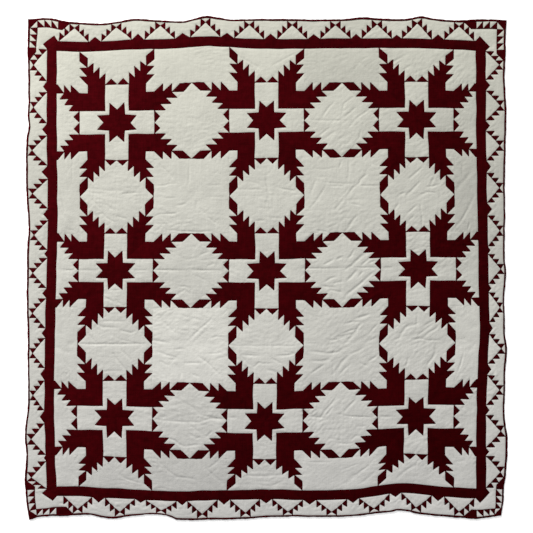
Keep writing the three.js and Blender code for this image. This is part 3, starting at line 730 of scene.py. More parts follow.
def liveliness(points):
    """Share of unevenness at each point, straight between the rows and columns."""
    rows = np.array(LIVELINESS, float)
    x, y = points.T
    columns = [np.interp(y, rows[:, 0], rows[:, column]) for column in (1, 2, 3)]
    return between(LIVELY_PLACES, np.array(columns), x)


class Draft:
    """The even drafting of the top: places of its main lines, and the way from there to
    the real quilt."""

    def __init__(self, sizes):
        for name in ("block", "middle_y", "arm", "strip", "frame_width", "border", "pyramid",
                     "binding", "seam_height", "rim_height", "puff", "crown", "binding_height",
                     "stitch", "stitch_pitch"):
            setattr(self, name, getattr(sizes, name) / MM)
        self.reach = self.block / 4
        self.inner = self.reach - self.strip
        self.slant = self.inner + self.reach - self.arm
        span = sizes.star_span / MM
        self.long, self.short = STAR_POINT[0] * span, STAR_POINT[1] * span
        self.notch, self.corner = STAR_NOTCHES[0] * span, STAR_NOTCHES[1] * span
        self.columns = [-self.block, 0, self.block]
        self.rows = [self.middle_y + self.block, self.middle_y, self.middle_y - self.block]
        self.field_x = self.block + sizes.field_side / MM
        self.frame_x = self.field_x + self.frame_width
        self.rim_x = self.frame_x + self.border
        self.edge_x = self.rim_x + self.binding
        self.field_top = self.rows[0] + sizes.field_top / MM
        self.field_bottom = self.rows[2] - sizes.field_bottom / MM
        self.frame_top = self.field_top + self.frame_width
        self.frame_bottom = self.field_bottom - self.frame_width
        self.rim_top = self.frame_top + self.border
        self.rim_bottom = self.frame_bottom - self.border
        self.edge_top = self.rim_top + self.binding
        self.edge_bottom = self.rim_bottom - self.binding
        self.tall = self.border - PYRAMID_RISE * (TEETH - 1) / TEETH  # height of a border tooth
        # The axis and direction of each side, its outer stars' centres, and the frame
        self.field_limits = {
            "left": (0, -1, self.block, self.field_x),
            "right": (0, 1, self.block, self.field_x),
            "top": (1, 1, self.rows[0], self.field_top),
            "bottom": (1, -1, -self.rows[2], -self.field_bottom),
        }

    def shift(self, points):
        """How far the even top moves at each point: straight between the seam lines and
        the stars, which each move by their own table."""
        x, y = points.T
        rows_up = self.rows[::-1]
        star_x = [
            between(rows_up, np.repeat([[STAR_SHIFTS[2 - row][column][0]] for row in range(3)],
                                       len(x), axis=1), y)
            for column in range(3)
        ]
        star_y = [
            between(self.columns, np.repeat([[STAR_SHIFTS[2 - row][column][1]]
                                             for column in range(3)], len(x), axis=1), x)
            for row in range(3)
        ]
        left, right = -FRAME_CURVES["left"](y), FRAME_CURVES["right"](y)
        low, high = -FRAME_CURVES["bottom"](x), FRAME_CURVES["top"](x)
        shift_x = between(
            [-self.edge_x, -self.frame_x, -self.field_x, *self.columns,
             self.field_x, self.frame_x, self.edge_x],
            np.array([-EDGE_CURVES["left"](y), left, left, *star_x, right, right,
                      EDGE_CURVES["right"](y)]), x)
        shift_y = between(
            [self.edge_bottom, self.frame_bottom, self.field_bottom, *rows_up,
             self.field_top, self.frame_top, self.edge_top],
            np.array([-EDGE_CURVES["bottom"](x), low, low, *star_y, high, high,
                      EDGE_CURVES["top"](x)]), y)
        return np.stack([shift_x, shift_y], 1)

    def settle(self, points):
        """Places on the even top, moved to where they lie on the real quilt, with the
        seams wandering a little."""
        waver = np.stack([waver_x(points), waver_y(points)], 1) * WAVER
        return points + self.shift(points) + waver

    def even(self, real):
        """The even place of a real one, near enough after two steps back."""
        guess = real
        for _ in range(2):
            guess = real - (self.settle(guess) - guess)
        return guess

    def eased(self, points):
        """Places in the whole field, moved in where its outer pieces were eased to fit."""
        points = points.copy()
        for side, (axis, sign, star, limit) in self.field_limits.items():
            start, whole = EASED[side]
            out = sign * points[:, axis] - star - start
            share = (limit - star - start) / (whole - start)
            points[:, axis] -= sign * np.maximum(out, 0) * (1 - share)
        return points

    def inside(self, points):
        """How far each point is inside the line where the binding starts."""
        x, y = points.T
        return np.minimum(self.rim_x - np.abs(x),
                          np.minimum(self.rim_top - y, y - self.rim_bottom))

    def rim_lift(self, points):
        """The cloth is thicker beside the binding: a bank that falls off as a bell curve."""
        bell = np.exp(-((self.inside(points) / RIM_SLOPE) ** 2))
        return (self.rim_height - self.seam_height) * bell


def shoelace(outline):
    """Area of an outline, positive where it runs counter clockwise."""
    x, y = outline.T
    return (x * np.roll(y, -1) - np.roll(x, -1) * y).sum() / 2


def centroid(outline):
    """Middle of an outline's area."""
    after = np.roll(outline, -1, 0)
    cross = outline[:, 0] * after[:, 1] - after[:, 0] * outline[:, 1]
    return ((outline + after) * cross[:, None]).sum(0) / (3 * cross.sum())


def counter_clockwise(outline):
    """The outline, turned round where it runs clockwise."""
    outline = np.asarray(outline, float)
    return outline if shoelace(outline) > 0 else outline[::-1]


def fitted_to_field(outline, draft):
    """The part of an outline that lies in the whole field, cut at each side in turn, with
    new corners where the easing starts, and then eased in to fit the frame."""
    for side, (axis, sign, star, _) in draft.field_limits.items():
        start, whole = EASED[side]
        kept = []
        for a, b in zip(outline, np.roll(outline, -1, 0)):
            out_a, out_b = sign * a[axis] - star, sign * b[axis] - star
            if out_a <= whole:
                kept.append(a)
            for limit in sorted((start, whole), key=lambda at: abs(at - out_a)):
                if (out_a - limit) * (out_b - limit) < 0:
                    kept.append(a + (b - a) * (limit - out_a) / (out_b - out_a))
        outline = np.array(kept)
        if len(kept) < 3:
            return None
    outline = draft.eased(outline)
    apart = np.linalg.norm(outline - np.roll(outline, 1, 0), axis=1) > NEAR_ENOUGH
    outline = outline[apart]
    return outline if len(outline) > 2 and shoelace(outline) > SMALLEST_CUT else None


def moved_in(outline, inset):
    """The outline again, with each side moved in by inset, or out where it is negative."""
    before, after = np.roll(outline, 1, 0), np.roll(outline, -1, 0)
    into, out_of = outline - before, after - outline
    into = into / np.linalg.norm(into, axis=1)[:, None]
    out_of = out_of / np.linalg.norm(out_of, axis=1)[:, None]
    cross = into[:, 0] * out_of[:, 1] - into[:, 1] * out_of[:, 0]
    lean = np.clip(cross / np.maximum(1 + (into * out_of).sum(1), 1e-6), -3, 3)
    normal = np.stack([-out_of[:, 1], out_of[:, 0]], 1)
    return outline + inset * (normal + out_of * lean[:, None])


class Patch:
    """One cut of cloth. It has one or more parts, outlines that run counter clockwise and
    share whole sides. Sides that belong to one part alone are seams. Where sewn is true the
    sides between parts are quilting lines too, and keys is the spacing of the light
    quilting lines that stand square on the seams. whole is an outline that all the parts
    make up together, and the cloth is then one part with that outline."""

    count = 0

    def __init__(self, parts, cell, sewn=False, keys=0, inset=0, grain=0.0, pressed=False,
                 whole=None):
        Patch.count += 1
        self.draw = np.random.default_rng((PATCH_SEED, Patch.count))
        self.parts = [counter_clockwise(part) for part in parts]
        if pressed:
            self.parts = [moved_in(part, -PRESSED) for part in self.parts]
        self.lift = PRESSED_LIFT if pressed else 0
        sides = [np.stack([part, np.roll(part, -1, 0)], 1) for part in self.parts]
        self.side_is_seam = []
        everything = np.concatenate(sides)
        for own in sides:
            gap = np.abs(own[:, None] - everything[None, :, ::-1]).max((2, 3))
            self.side_is_seam.append(gap.min(1) > NEAR_ENOUGH)
        is_seam = np.concatenate(self.side_is_seam)
        self.seams = everything[is_seam]
        self.pull = np.ones((len(self.seams), SEAM_PLACES + 1))
        inner = everything[~is_seam]
        # An inner side is there twice, once each way, and one of them is kept
        one_way = (inner[:, 1] - inner[:, 0]) @ (1, 0.37) > 0
        self.lines = inner[one_way] if sewn else np.zeros((0, 2, 2))
        self.keys = self.key_lines(keys) if keys else np.zeros((0, 2, 2))
        if whole is not None:
            self.parts = [whole]
            self.side_is_seam = [np.ones(len(whole), bool)]
        quad = max(shoelace(part) / len(part) for part in self.parts)
        self.steps = max(2, math.ceil(math.sqrt(quad) / cell))
        if inset:
            self.keys = np.concatenate([self.keys, self.inset_lines(inset)])
        self.grain = grain
        count = len(self.seams) + len(self.lines)
        self.wave_length = self.draw.uniform(*RIPPLE_LENGTHS, (2, count))
        self.wave_phase = self.draw.uniform(0, math.tau, (2, count))
        self.tone = self.draw.normal()

    def key_lines(self, spacing):
        """Lines that stand square on each seam side and run in to the part's other sides."""
        found = []
        for part, seam in zip(self.parts, self.side_is_seam):
            for side in np.flatnonzero(seam):
                a, b = part[side], part[(side + 1) % len(part)]
                length = np.linalg.norm(b - a)
                along = (b - a) / length
                inward = np.array([-along[1], along[0]])
                places = np.arange(length / 2 % spacing + spacing * 0.5, length, spacing)
                for place in places:
                    start = a + along * place
                    reach = self.crossing(part, start, inward)
                    if reach > 3 * LINE_INSET:
                        found.append([start + inward * KEY_GAP,
                                      start + inward * (reach - KEY_GAP)])
        return np.array(found).reshape(-1, 2, 2)

    @staticmethod
    def crossing(part, start, way):
        """How far a ray from a part's side goes before it leaves the part."""
        nearest = 1e9
        for a, b in zip(part, np.roll(part, -1, 0)):
            run = b - a
            turn = way[0] * run[1] - way[1] * run[0]
            if abs(turn) < 1e-9:
                continue
            off = a - start
            reach = (off[0] * run[1] - off[1] * run[0]) / turn
            place = (off[0] * way[1] - off[1] * way[0]) / turn
            if reach > 1 and -1e-6 <= place <= 1 + 1e-6:
                nearest = min(nearest, reach)
        return nearest

    def inset_lines(self, inset):
        """The outline of the first part again, moved in from its seams by inset."""
        corners = moved_in(self.parts[0], inset)
        return np.stack([corners, np.roll(corners, -1, 0)], 1)


def inside_outline(points, outline):
    """Which points lie inside an outline: a ray from each crosses it an odd number of times."""
    x, y = points.T
    inside = np.zeros(len(points), bool)
    for (ax, ay), (bx, by) in zip(outline, np.roll(outline, -1, 0)):
        if ay != by:
            crosses = (ay > y) != (by > y)
            inside ^= crosses & (x < ax + (y - ay) * (bx - ax) / (by - ay))
    return inside


def soften(patches):
    """Lessens the pull of the seams that join two of these patches, which are of one colour.
    Each seam is looked up at even places, just outside of it."""
    share = np.clip(np.linspace(0, 1, SEAM_PLACES + 1), 0.03, 0.97)
    start = np.concatenate([patch.seams[:, 0] for patch in patches])
    run = np.concatenate([patch.seams[:, 1] for patch in patches]) - start
    outward = np.stack([run[:, 1], -run[:, 0]], 1) / np.linalg.norm(run, axis=1)[:, None]
    places = start[:, None] + run[:, None] * share[:, None] + PAST_SEAM * outward[:, None]
    places = places.reshape(-1, 2)
    met = np.zeros(len(places), bool)
    for patch in patches:
        for part in patch.parts:
            close = np.flatnonzero(((places > part.min(0)) & (places < part.max(0))).all(1))
            met[close] |= inside_outline(places[close], part)
    pull = np.where(met, SOFT_SEAM, 1.0).reshape(len(start), -1)
    first = 0
    for patch in patches:
        patch.pull = pull[first:first + len(patch.seams)]
        first += len(patch.seams)


def beside(points, segments):
    """For each point and each segment, how far the point is from it, and how far along."""
    start = segments[:, 0]
    run = segments[:, 1] - start
    length = np.linalg.norm(run, axis=1)
    along = ((points[:, None] - start) * run).sum(2) / length
    foot = start + run * np.clip(along / length, 0, 1)[:, :, None]
    return np.linalg.norm(points[:, None] - foot, axis=2), along


def strayed(points):
    """How far the quilting lines stray at each point, as slow waves."""
    return LINE_WANDER * np.stack([stray_x(points), stray_y(points)], 1)


def relief(patch, points, draft):
    """Height of a patch over its seams, and the share of painted shade that each point gets from its nearness to a
    seam, from 0 to 1.
    From a seam the cloth rises as one minus a falling exponential, and goes on rising
    slowly to a crown. Puckers run out from each seam, square on it: waves along the seam
    that die away with the distance. Quilting lines are troughs with a bell section."""
    distance, along = beside(points, patch.seams)
    near = distance.min(1)
    place = np.clip(along / np.linalg.norm(patch.seams[:, 1] - patch.seams[:, 0], axis=1), 0, 1)
    place *= SEAM_PLACES
    step = np.minimum(place.astype(int), SEAM_PLACES - 1)
    seam = np.arange(len(patch.seams))
    before, after = patch.pull[seam, step], patch.pull[seam, step + 1]
    pull = before + (after - before) * (place - step)
    height = patch.lift + draft.puff * (1 - (pull * np.exp(-distance / PUFF_SLOPE)).max(1))
    height += draft.crown * (1 - np.exp(-((near / CROWN_SLOPE) ** 2)))
    # Painted shade along the seams, falling off with the distance from them.
    seam_shade_share = (pull * np.exp(-distance / SEAM_SHADE_REACH)).max(1)
    line_places = points + strayed(points)
    drawn_in = np.clip(DRAWN_IN[0] + DRAWN_IN[1] * pucker(points), 0.1, 1.3)
    if len(patch.lines):
        line_distance, line_along = beside(line_places, patch.lines)
        distance = np.concatenate([distance, line_distance], 1)
        along = np.concatenate([along, line_along], 1)
        trough = np.exp(-((line_distance.min(1) / LINE_WIDTH) ** 2))
        height -= LINE_DEPTH * drawn_in * trough
    if len(patch.keys):
        key_distance, _ = beside(line_places, patch.keys)
        height -= KEY_DEPTH * drawn_in * np.exp(-((key_distance.min(1) / KEY_WIDTH) ** 2))
    wave = sum(part * np.cos(math.tau * along / length + phase) for part, length, phase
               in zip(RIPPLE_PARTS, patch.wave_length, patch.wave_phase))
    ripple = (wave * np.exp(-distance / RIPPLE_REACH)).sum(1)
    ripple *= liveliness(points) * (1 - np.exp(-distance.min(1) / RIPPLE_START))
    return height + RIPPLE * ripple, seam_shade_share


def trough_along(points, crease):
    """A trough along a line through places: a bell across it that gets shallower towards
    each end. The places are on its darker side, so its middle is moved down from them."""
    depth, width = crease[:2]
    places = np.array(crease[2:], float).reshape(-1, 2) - (0, width / 2)
    segments = np.stack([places[:-1], places[1:]], 1)
    distance, along = beside(points, segments)
    length = np.linalg.norm(segments[:, 1] - segments[:, 0], axis=1)
    nearest = distance.argmin(1)
    row = np.arange(len(points))
    place = (np.cumsum(length) - length)[nearest]
    place += np.clip(along[row, nearest], 0, length[nearest])
    end = np.minimum(place, length.sum() - place) / (CREASE_TAPER * length.sum())
    bell = np.exp(-((distance[row, nearest] / width) ** 2))
    return depth * (CREASE_END + (1 - CREASE_END) * np.clip(end, 0, 1)) * bell


def crumple(points, row, seed):
    """Wrinkles side by side: narrow troughs of a wave that bends slowly, inside a bell."""
    x, y, radius, direction, spacing, depth = row
    draw = np.random.default_rng(seed)
    turn = math.radians(direction)
    off = points - (x, y)
    along = off @ (math.cos(turn), math.sin(turn))
    across = off @ (-math.sin(turn), math.cos(turn))
    window = np.exp(-((np.hypot(along, across) / radius) ** 4))
    total = np.zeros(len(points))
    for part in WRINKLE_PARTS:
        lean, bend = draw.uniform(-WRINKLE_LEAN, WRINKLE_LEAN), draw.uniform(*WRINKLE_BENDS)
        apart = spacing * part * draw.uniform(*WRINKLE_SPACINGS)
        phase = math.tau * (across + lean * along) / apart
        phase += WRINKLE_SWAYS[0] * np.sin(along / bend * math.tau / 2 + draw.uniform(0, math.tau))
        phase += WRINKLE_SWAYS[1] * np.sin(across / bend * math.tau / 1.3 + draw.uniform(0, math.tau))
        fade = 0.5 + 0.5 * np.sin(along / (bend * 0.8) * math.tau / 2
                                  + across / 37 + draw.uniform(0, math.tau))
        total += part * fade * np.exp(WRINKLE_SHARPNESS * (np.sin(phase) - 1))
    return depth * window * total


def troughs(points):
    """Depth, on the real quilt, of all that doesn't follow the piecing: lasting folds, with
    a bell section, single creases, crumpled places, the slow billow and the net of fine
    creases, which is as high as the size of a sum of waves, so it dips where they cancel."""
    x, y = points.T
    depth = np.zeros(len(points))
    for at, deep, width in FOLDS_ACROSS:
        depth += deep * np.exp(-(((y - at) / width) ** 2))
    for at, deep, width in FOLDS_DOWN:
        depth += deep * np.exp(-(((x - at) / width) ** 2))
    creased = np.zeros(len(points))
    for crease in CREASES:
        places = np.array(crease[2:], float).reshape(-1, 2)
        margin = 3 * crease[1]
        low, high = places.min(0) - margin, places.max(0) + margin
        close = np.flatnonzero(((points > low) & (points < high)).all(1))
        creased[close] += trough_along(points[close], crease)
    for number, row in enumerate(CRUMPLES):
        close = np.flatnonzero(np.abs(points - row[:2]).max(1) < 1.5 * row[2])
        depth[close] += crumple(points[close], row, CRUMPLE_SEED + number)
    slanting = np.clip((x - SLANTING[0]) / (SLANTING[1] - SLANTING[0]), 0, 1)
    fine = (1 - slanting) * crinkle_level(points) + slanting * crinkle_slant(points)
    net = np.sqrt(fine ** 2 + NET_ROUNDING) - NET_MEAN
    depth -= CRINKLE * (CALM_SHARES[0] + CALM_SHARES[1] * calm(points)) * net
    depth -= PUCKER * pucker(points)
    depth = depth * (LIVELY_SHARES[0] + LIVELY_SHARES[1] * liveliness(points))
    depth -= BILLOW * billow(points)
    return depth + CREASE_LIMIT * np.tanh(creased / CREASE_LIMIT)


def grid_cells(number):
    """The four corners of each cell of a grid of points, which are given by number."""
    return np.stack([number[..., :-1, :-1], number[..., 1:, :-1],
                     number[..., 1:, 1:], number[..., :-1, 1:]], -1).reshape(-1, 4)


def tile(patches):
    """Covers patches with four sided cells. Each corner of a part, with the middles of its
    two sides and the part's middle, is a quad, and is divided both ways.
    Returns the points, the patch of each, the cells, the seam edges, and the outline edges
    of the parts with the point at the part's middle."""
    groups = {}
    for number, patch in enumerate(patches):
        for part, seam in zip(patch.parts, patch.side_is_seam):
            half_way = (part + np.roll(part, -1, 0)) / 2
            middle = np.broadcast_to(centroid(part), part.shape)
            quads = np.stack([part, half_way, middle, np.roll(half_way, 1, 0)], 1)
            group = groups.setdefault(patch.steps, ([], [], [], []))
            group[0].append(quads)
            group[1].append(np.full(len(part), number))
            group[2].append(seam)
            group[3].append(np.roll(seam, 1))
    points, owners, cells, seam_edges, fans = [], [], [], [], []
    first = 0
    for steps, group in sorted(groups.items()):
        quads, owner, seam_after, seam_before = (np.concatenate(g) for g in group)
        t = (np.arange(steps + 1) / steps) ** EDGE_CROWDING
        u, v = np.meshgrid(t, t, indexing="ij")
        weights = np.stack([(1 - u) * (1 - v), u * (1 - v), u * v, (1 - u) * v], 2)
        grid = np.einsum("uvk,qkd->quvd", weights, quads)
        size = steps + 1
        number = np.arange(len(quads) * size * size).reshape(len(quads), size, size) + first
        points.append(grid.reshape(-1, 2))
        owners.append(np.repeat(owner, size * size))
        cells.append(grid_cells(number))
        after = np.stack([number[:, :-1, 0], number[:, 1:, 0]], 2)
        before = np.stack([number[:, 0, 1:], number[:, 0, :-1]], 2)
        seam_edges.append(after[seam_after].reshape(-1, 2))
        seam_edges.append(before[seam_before].reshape(-1, 2))
        middle = np.broadcast_to(number[:, -1:, -1:], (len(quads), steps, 1))
        fans.append(np.concatenate([after, middle], 2).reshape(-1, 3))
        fans.append(np.concatenate([before, middle], 2).reshape(-1, 3))
        first += number.size
    points, owners = np.concatenate(points), np.concatenate(owners)
    # Points of one patch at the same place, to a hundredth of a millimetre, are made one
    hundredths = np.round(points * 100 + 0.137).astype(np.int64) + (1 << 17)
    key = (owners.astype(np.int64) << 36) + (hundredths[:, 0] << 18) + hundredths[:, 1]
    _, chosen, merged = np.unique(key, return_index=True, return_inverse=True)
    return (points[chosen], owners[chosen], merged[np.concatenate(cells)],
            merged[np.concatenate(seam_edges)], merged[np.concatenate(fans)])


def heights(patches, points, owners, draft):
    """Height of each point of each patch over its seams, with the share of painted shade that it gets near a seam."""
    order = np.argsort(owners, kind="stable")
    starts = np.searchsorted(owners[order], np.arange(len(patches) + 1))
    height, near = np.zeros(len(points)), np.zeros(len(points))
    for patch, start, stop in zip(patches, starts[:-1], starts[1:]):
        own = order[start:stop]
        height[own], near[own] = relief(patch, points[own], draft)
    return height, near


def surface(draft, points, height):
    """The place in space of points of the even top that stand this high over the seams."""
    real = draft.settle(points)
    z = draft.seam_height + draft.rim_lift(points) + height - troughs(real)
    return np.column_stack([real, z])


def cloth_mesh(name, vertices, faces, sharp_angle=50):
    """A mesh from points in millimetres and arrays of faces with 3 or 4 corners each."""
    mesh = bpy.data.meshes.new(name)
    mesh.vertices.add(len(vertices))
    mesh.vertices.foreach_set("co", (np.asarray(vertices) * MM).astype(np.float32).ravel())
    corners = np.concatenate([f.ravel() for f in faces]).astype(np.int32)
    sizes = np.concatenate([np.full(len(f), f.shape[1]) for f in faces])
    starts = np.concatenate([[0], np.cumsum(sizes)[:-1]]).astype(np.int32)
    mesh.loops.add(len(corners))
    mesh.loops.foreach_set("vertex_index", corners)
    mesh.polygons.add(len(sizes))
    mesh.polygons.foreach_set("loop_start", starts)
    mesh.polygons.foreach_set("use_smooth", np.ones(len(sizes), bool))
    mesh.update(calc_edges=True)
    mesh.validate()
    mesh.set_sharp_from_angle(angle=math.radians(sharp_angle))
    return mesh


def shown(name, mesh, material, slot, *nodes):
    """Links a mesh as a piece of the quilt that rides on its one body."""
    piece = bpy.data.objects.new(name, mesh)
    bpy.context.scene.collection.objects.link(piece)
    piece.data.materials.append(material)
    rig.ride(piece, "root")
    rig.slot(piece, slot)
    if nodes:
        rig.replaces(piece, *nodes)
    return piece


def values_on_points(mesh, name, values):
    """Keeps a number for each point of a mesh, for its material."""
    attribute = mesh.attributes.new(name, "FLOAT", "POINT")
    attribute.data.foreach_set("value", np.asarray(values, np.float32))


def shade_and_tone_spots(places):
    """How much lighter the white cloth is painted at each place, with painted shade near the edges: level steps with
    soft edges.
    """
    lighter = np.zeros(len(places))
    for x, y, reach, share in SHADE_AND_TONE_SPOTS:
        lighter += share * np.exp(-((np.hypot(*(places - (x, y)).T) / reach) ** 4))
    return lighter


def weave_uv(mesh, flat, owners, patches):
    """A UV map in metres that runs along each patch's own threads."""
    turn = np.array([patch.grain for patch in patches])[owners]
    c, s = np.cos(turn), np.sin(turn)
    uv = np.stack([flat[:, 0] * c + flat[:, 1] * s, flat[:, 1] * c - flat[:, 0] * s], 1) * MM
    corner = np.empty(len(mesh.loops), np.int32)
    mesh.loops.foreach_get("vertex_index", corner)
    layer = mesh.uv_layers.new(name="threads")
    layer.data.foreach_set("uv", uv[corner].astype(np.float32).ravel())


def sewn_piece(name, patches, material, slot, draft):
    """A piece of many patches. Each is a closed solid: its worked surface, walls down
    from its seams, and a flat underside inside the quilt, fanned from the parts' middles."""
    points, owners, cells, seam_edges, fans = tile(patches)
    height, near = heights(patches, points, owners, draft)
    top = surface(draft, points, height)
    lowered = np.unique(fans)
    below = np.zeros(len(points), np.int64)
    below[lowered] = len(points) + np.arange(len(lowered))
    under = top[lowered].copy()
    under[:, 2] = UNDER_Z
    a, b = seam_edges.T
    walls = np.stack([b, a, below[a], below[b]], 1)
    floors = below[fans[:, [1, 0, 2]]]
    mesh = cloth_mesh(name, np.concatenate([top, under]), [cells, walls, floors])
    source = np.concatenate([np.arange(len(points)), lowered])
    tones = np.array([patch.tone for patch in patches]) * TONE_SPREAD[slot]
    # The white patches also take the lighter and darker places of the table, with painted shade near the edges.
    if slot == WHITE_SLOT:
        tones += shade_and_tone_spots(np.array([centroid(patch.parts[0]) for patch in patches]))
    weave_uv(mesh, points[source], owners[source], patches)
    values_on_points(mesh, "tone", tones[owners[source]])
    # Share of the shade painted along the seams.
    values_on_points(mesh, "seam", near[source])
    return shown(name, mesh, material, slot, "quilt")


def turned(outline, quarter, centre):
    """An outline turned by quarter turns and moved to a block's centre."""
    c, s = [(1, 0), (0, 1), (-1, 0), (0, -1)][quarter]
    x, y = np.asarray(outline, float).T
    return np.stack([centre[0] + x * c - y * s, centre[1] + x * s + y * c], 1)


def in_blocks(draft, drawn, mirror=True):
    """Copies of outlines drafted in a block's upper right quarter, in all quarters of all
    blocks, as (outline, turn of its grain), cut to the field."""
    found = []
    for x in draft.columns:
        for y in draft.rows:
            for quarter in range(4):
                for outline in drawn:
                    both = [outline, [(b, a) for a, b in outline]] if mirror else [outline]
                    for one in both:
                        one = counter_clockwise(turned(one, quarter, (x, y)))
                        cut = fitted_to_field(one, draft)
                        if cut is not None:
                            found.append((cut, quarter * math.pi / 2))
    return found


def patches_from(found, cell, **words):
    """A patch of one part for each outline, with its own grain."""
    return [Patch([outline], cell, grain=grain, **words) for outline, grain in found]


def red_cut(outline):
    """A small dark red patch with the grain upright."""
    return Patch([outline], CELL_RED, pressed=True)


def white_cut(outline):
    """A small white patch with the grain upright."""
    return Patch([outline], CELL_SMALL)


def star_patches(draft):
    """Eight diamonds round each block's centre: from it to a notch on an axis, a point, and
    a notch on a diagonal."""
    diamond = [(0, 0), (0, draft.notch), (draft.short, draft.long), (draft.corner,) * 2]
    return patches_from(in_blocks(draft, [diamond]), CELL_RED, pressed=True)


def chevron_patches(draft):
    """Chevrons beyond the cross, each two halves that meet on the block's diagonal."""
    a, q, inner = draft.arm, draft.reach, draft.inner
    chevron = [(a, a), (inner, inner), (inner, draft.slant), (a, q)]
    return patches_from(in_blocks(draft, [chevron]), CELL_RED, inset=CHEVRON_INSET, pressed=True)


def cross_patches(draft):
    """The cross round each star: its arms, the triangles between the star's points on the
    axes, and the two halves of each elbow on the diagonals."""
    a, q, far, near = draft.arm, draft.reach, draft.long, draft.short
    arm = [(-a, far), (a, far), (a, q), (-a, q)]
    inset = [(-near, far), (0, draft.notch), (near, far)]
    elbow = [(draft.corner,) * 2, (far, near), (far, a), (a, a)]
    arms = patches_from(in_blocks(draft, [arm], mirror=False), CELL_WHITE, inset=LINE_INSET)
    return (arms + patches_from(in_blocks(draft, [inset], mirror=False), CELL_WHITE)
            + patches_from(in_blocks(draft, [elbow]), CELL_WHITE))


def feather_outlines(draft):
    """The feather strips of a block's upper right quarter: white outlines, red outlines."""
    a, q, inner, strip = draft.arm, draft.reach, draft.inner, draft.strip
    step = (inner - a) / TEETH
    foot = [(a + step * k, q + step * k) for k in range(TEETH + 1)]
    tip = [(a / 2 + step * k, q + a / 2 + step * k) for k in range(TEETH + 2)]
    tip[-1] = (inner, q + inner)
    slant = draft.slant
    fall = (slant - q) / 2
    red = [[(0, q), (a, q), tip[0]]]
    red += [[foot[k], foot[k + 1], tip[k + 1]] for k in range(TEETH)]
    white = [[tip[k], foot[k], tip[k + 1]] for k in range(TEETH + 1)]
    white.append([(inner, slant), (q, slant), (q, slant + strip)])
    for k in range(2):
        high, low = slant - fall * k, slant - fall * (k + 1)
        red.append([(q, high), (inner, high), (inner, low)])
        white.append([(q, high), (inner, low), (q, low)])
    return white, red


def white_feather_patches(draft):
    """The white feathers, and the small square where two strips of them meet."""
    white, _ = feather_outlines(draft)
    inner, q = draft.inner, draft.reach
    square = [(inner, inner), (q, inner), (q, q), (inner, q)]
    return (patches_from(in_blocks(draft, white), CELL_SMALL)
            + patches_from(in_blocks(draft, [square], mirror=False), CELL_SMALL))


def red_feather_patches(draft):
    """The dark red feathers."""
    _, red = feather_outlines(draft)
    return patches_from(in_blocks(draft, red), CELL_RED, pressed=True)


def diamond_patches(draft):
    """The diamonds at the chevrons' ends, which reach to the middle between two blocks."""
    inner, q, slant = draft.inner, draft.reach, draft.slant
    diamond = [(inner, q + inner), (inner, slant), (q, slant + draft.strip), (q, 2 * q)]
    return patches_from(in_blocks(draft, [diamond]), CELL_RED, pressed=True)


def quilted_squares(draft, corners, wanted):
    """White squares between the blocks, each quilted from corner to corner. corners are
    drafted about the square's centre, and wanted says which half block places have one."""
    found = []
    half = draft.block / 2
    corners = np.array(corners, float)
    for i in range(-3, 4):
        for j in range(-3, 4):
            if not wanted(i, j):
                continue
            centre = np.array([i * half, draft.middle_y + j * half])
            parts = [fitted_to_field(np.array([a, b, (0, 0)]) + centre, draft)
                     for a, b in zip(corners, np.roll(corners, -1, 0))]
            parts = [part for part in parts if part is not None]
            whole = fitted_to_field(corners + centre, draft)
            if whole is not None:
                found.append(Patch(parts, CELL_WHITE, sewn=True, keys=KEY_SPACING, whole=whole))
    return found


def setting_patches(draft):
    """Level squares at the odd half block places, in the middle of four blocks."""
    q = draft.reach
    return quilted_squares(draft, [(-q, -q), (q, -q), (q, q), (-q, q)],
                           lambda i, j: i % 2 and j % 2)


def turned_patches(draft):
    """Squares that stand on a corner between two blocks."""
    q = draft.reach
    return quilted_squares(draft, [(0, -q), (q, 0), (0, q), (-q, 0)],
                           lambda i, j: (i + j) % 2)


class Side:
    """One side of the border: places along it and out from the frame, and its pyramids,
    each with the feet of its two slopes."""

    def __init__(self, side, draft):
        self.side = side
        self.draft = draft
        across = side in ("top", "bottom")
        limits = (-draft.rim_x, draft.rim_x) if across else (draft.rim_bottom, draft.rim_top)
        self.low, self.high = limits
        real = np.array(sorted(PYRAMID_TIPS[side]), float)
        places = self.place(np.stack([real, np.full(len(real), PYRAMID_RISE)], 1))
        self.tips = draft.even(places)[:, 0 if across else 1]
        clear = draft.border + draft.frame_width + CORNER_CLEAR
        half = draft.pyramid / 2
        self.feet = [[tip - half, tip + half] for tip in self.tips]
        self.feet[0][0] = max(self.feet[0][0], self.low + clear)
        self.feet[-1][1] = min(self.feet[-1][1], self.high - clear)

    def place(self, outline):
        """Points given as (along, out) on the even top."""
        along, out = np.asarray(outline, float).T
        draft = self.draft
        if self.side == "top":
            return np.stack([along, draft.frame_top + out], 1)
        if self.side == "bottom":
            return np.stack([along, draft.frame_bottom - out], 1)
        sign = -1 if self.side == "left" else 1
        return np.stack([sign * (draft.frame_x + out), along], 1)


def feather_slope(side, foot, tip):
    """The feather strip on one slope of a pyramid: teeth with one side square on the frame,
    white triangles between them. Returns white outlines, red outlines, and the top corner
    of the last tooth."""
    climb = [(foot + (tip - foot) * k / TEETH, PYRAMID_RISE * k / TEETH)
             for k in range(TEETH + 1)]
    over = [(along, out + side.draft.tall) for along, out in climb]
    red = [[climb[k], climb[k + 1], over[k]] for k in range(TEETH)]
    white = [[over[k], climb[k + 1], over[k + 1]] for k in range(TEETH - 1)]
    return white, red, over[TEETH - 1]


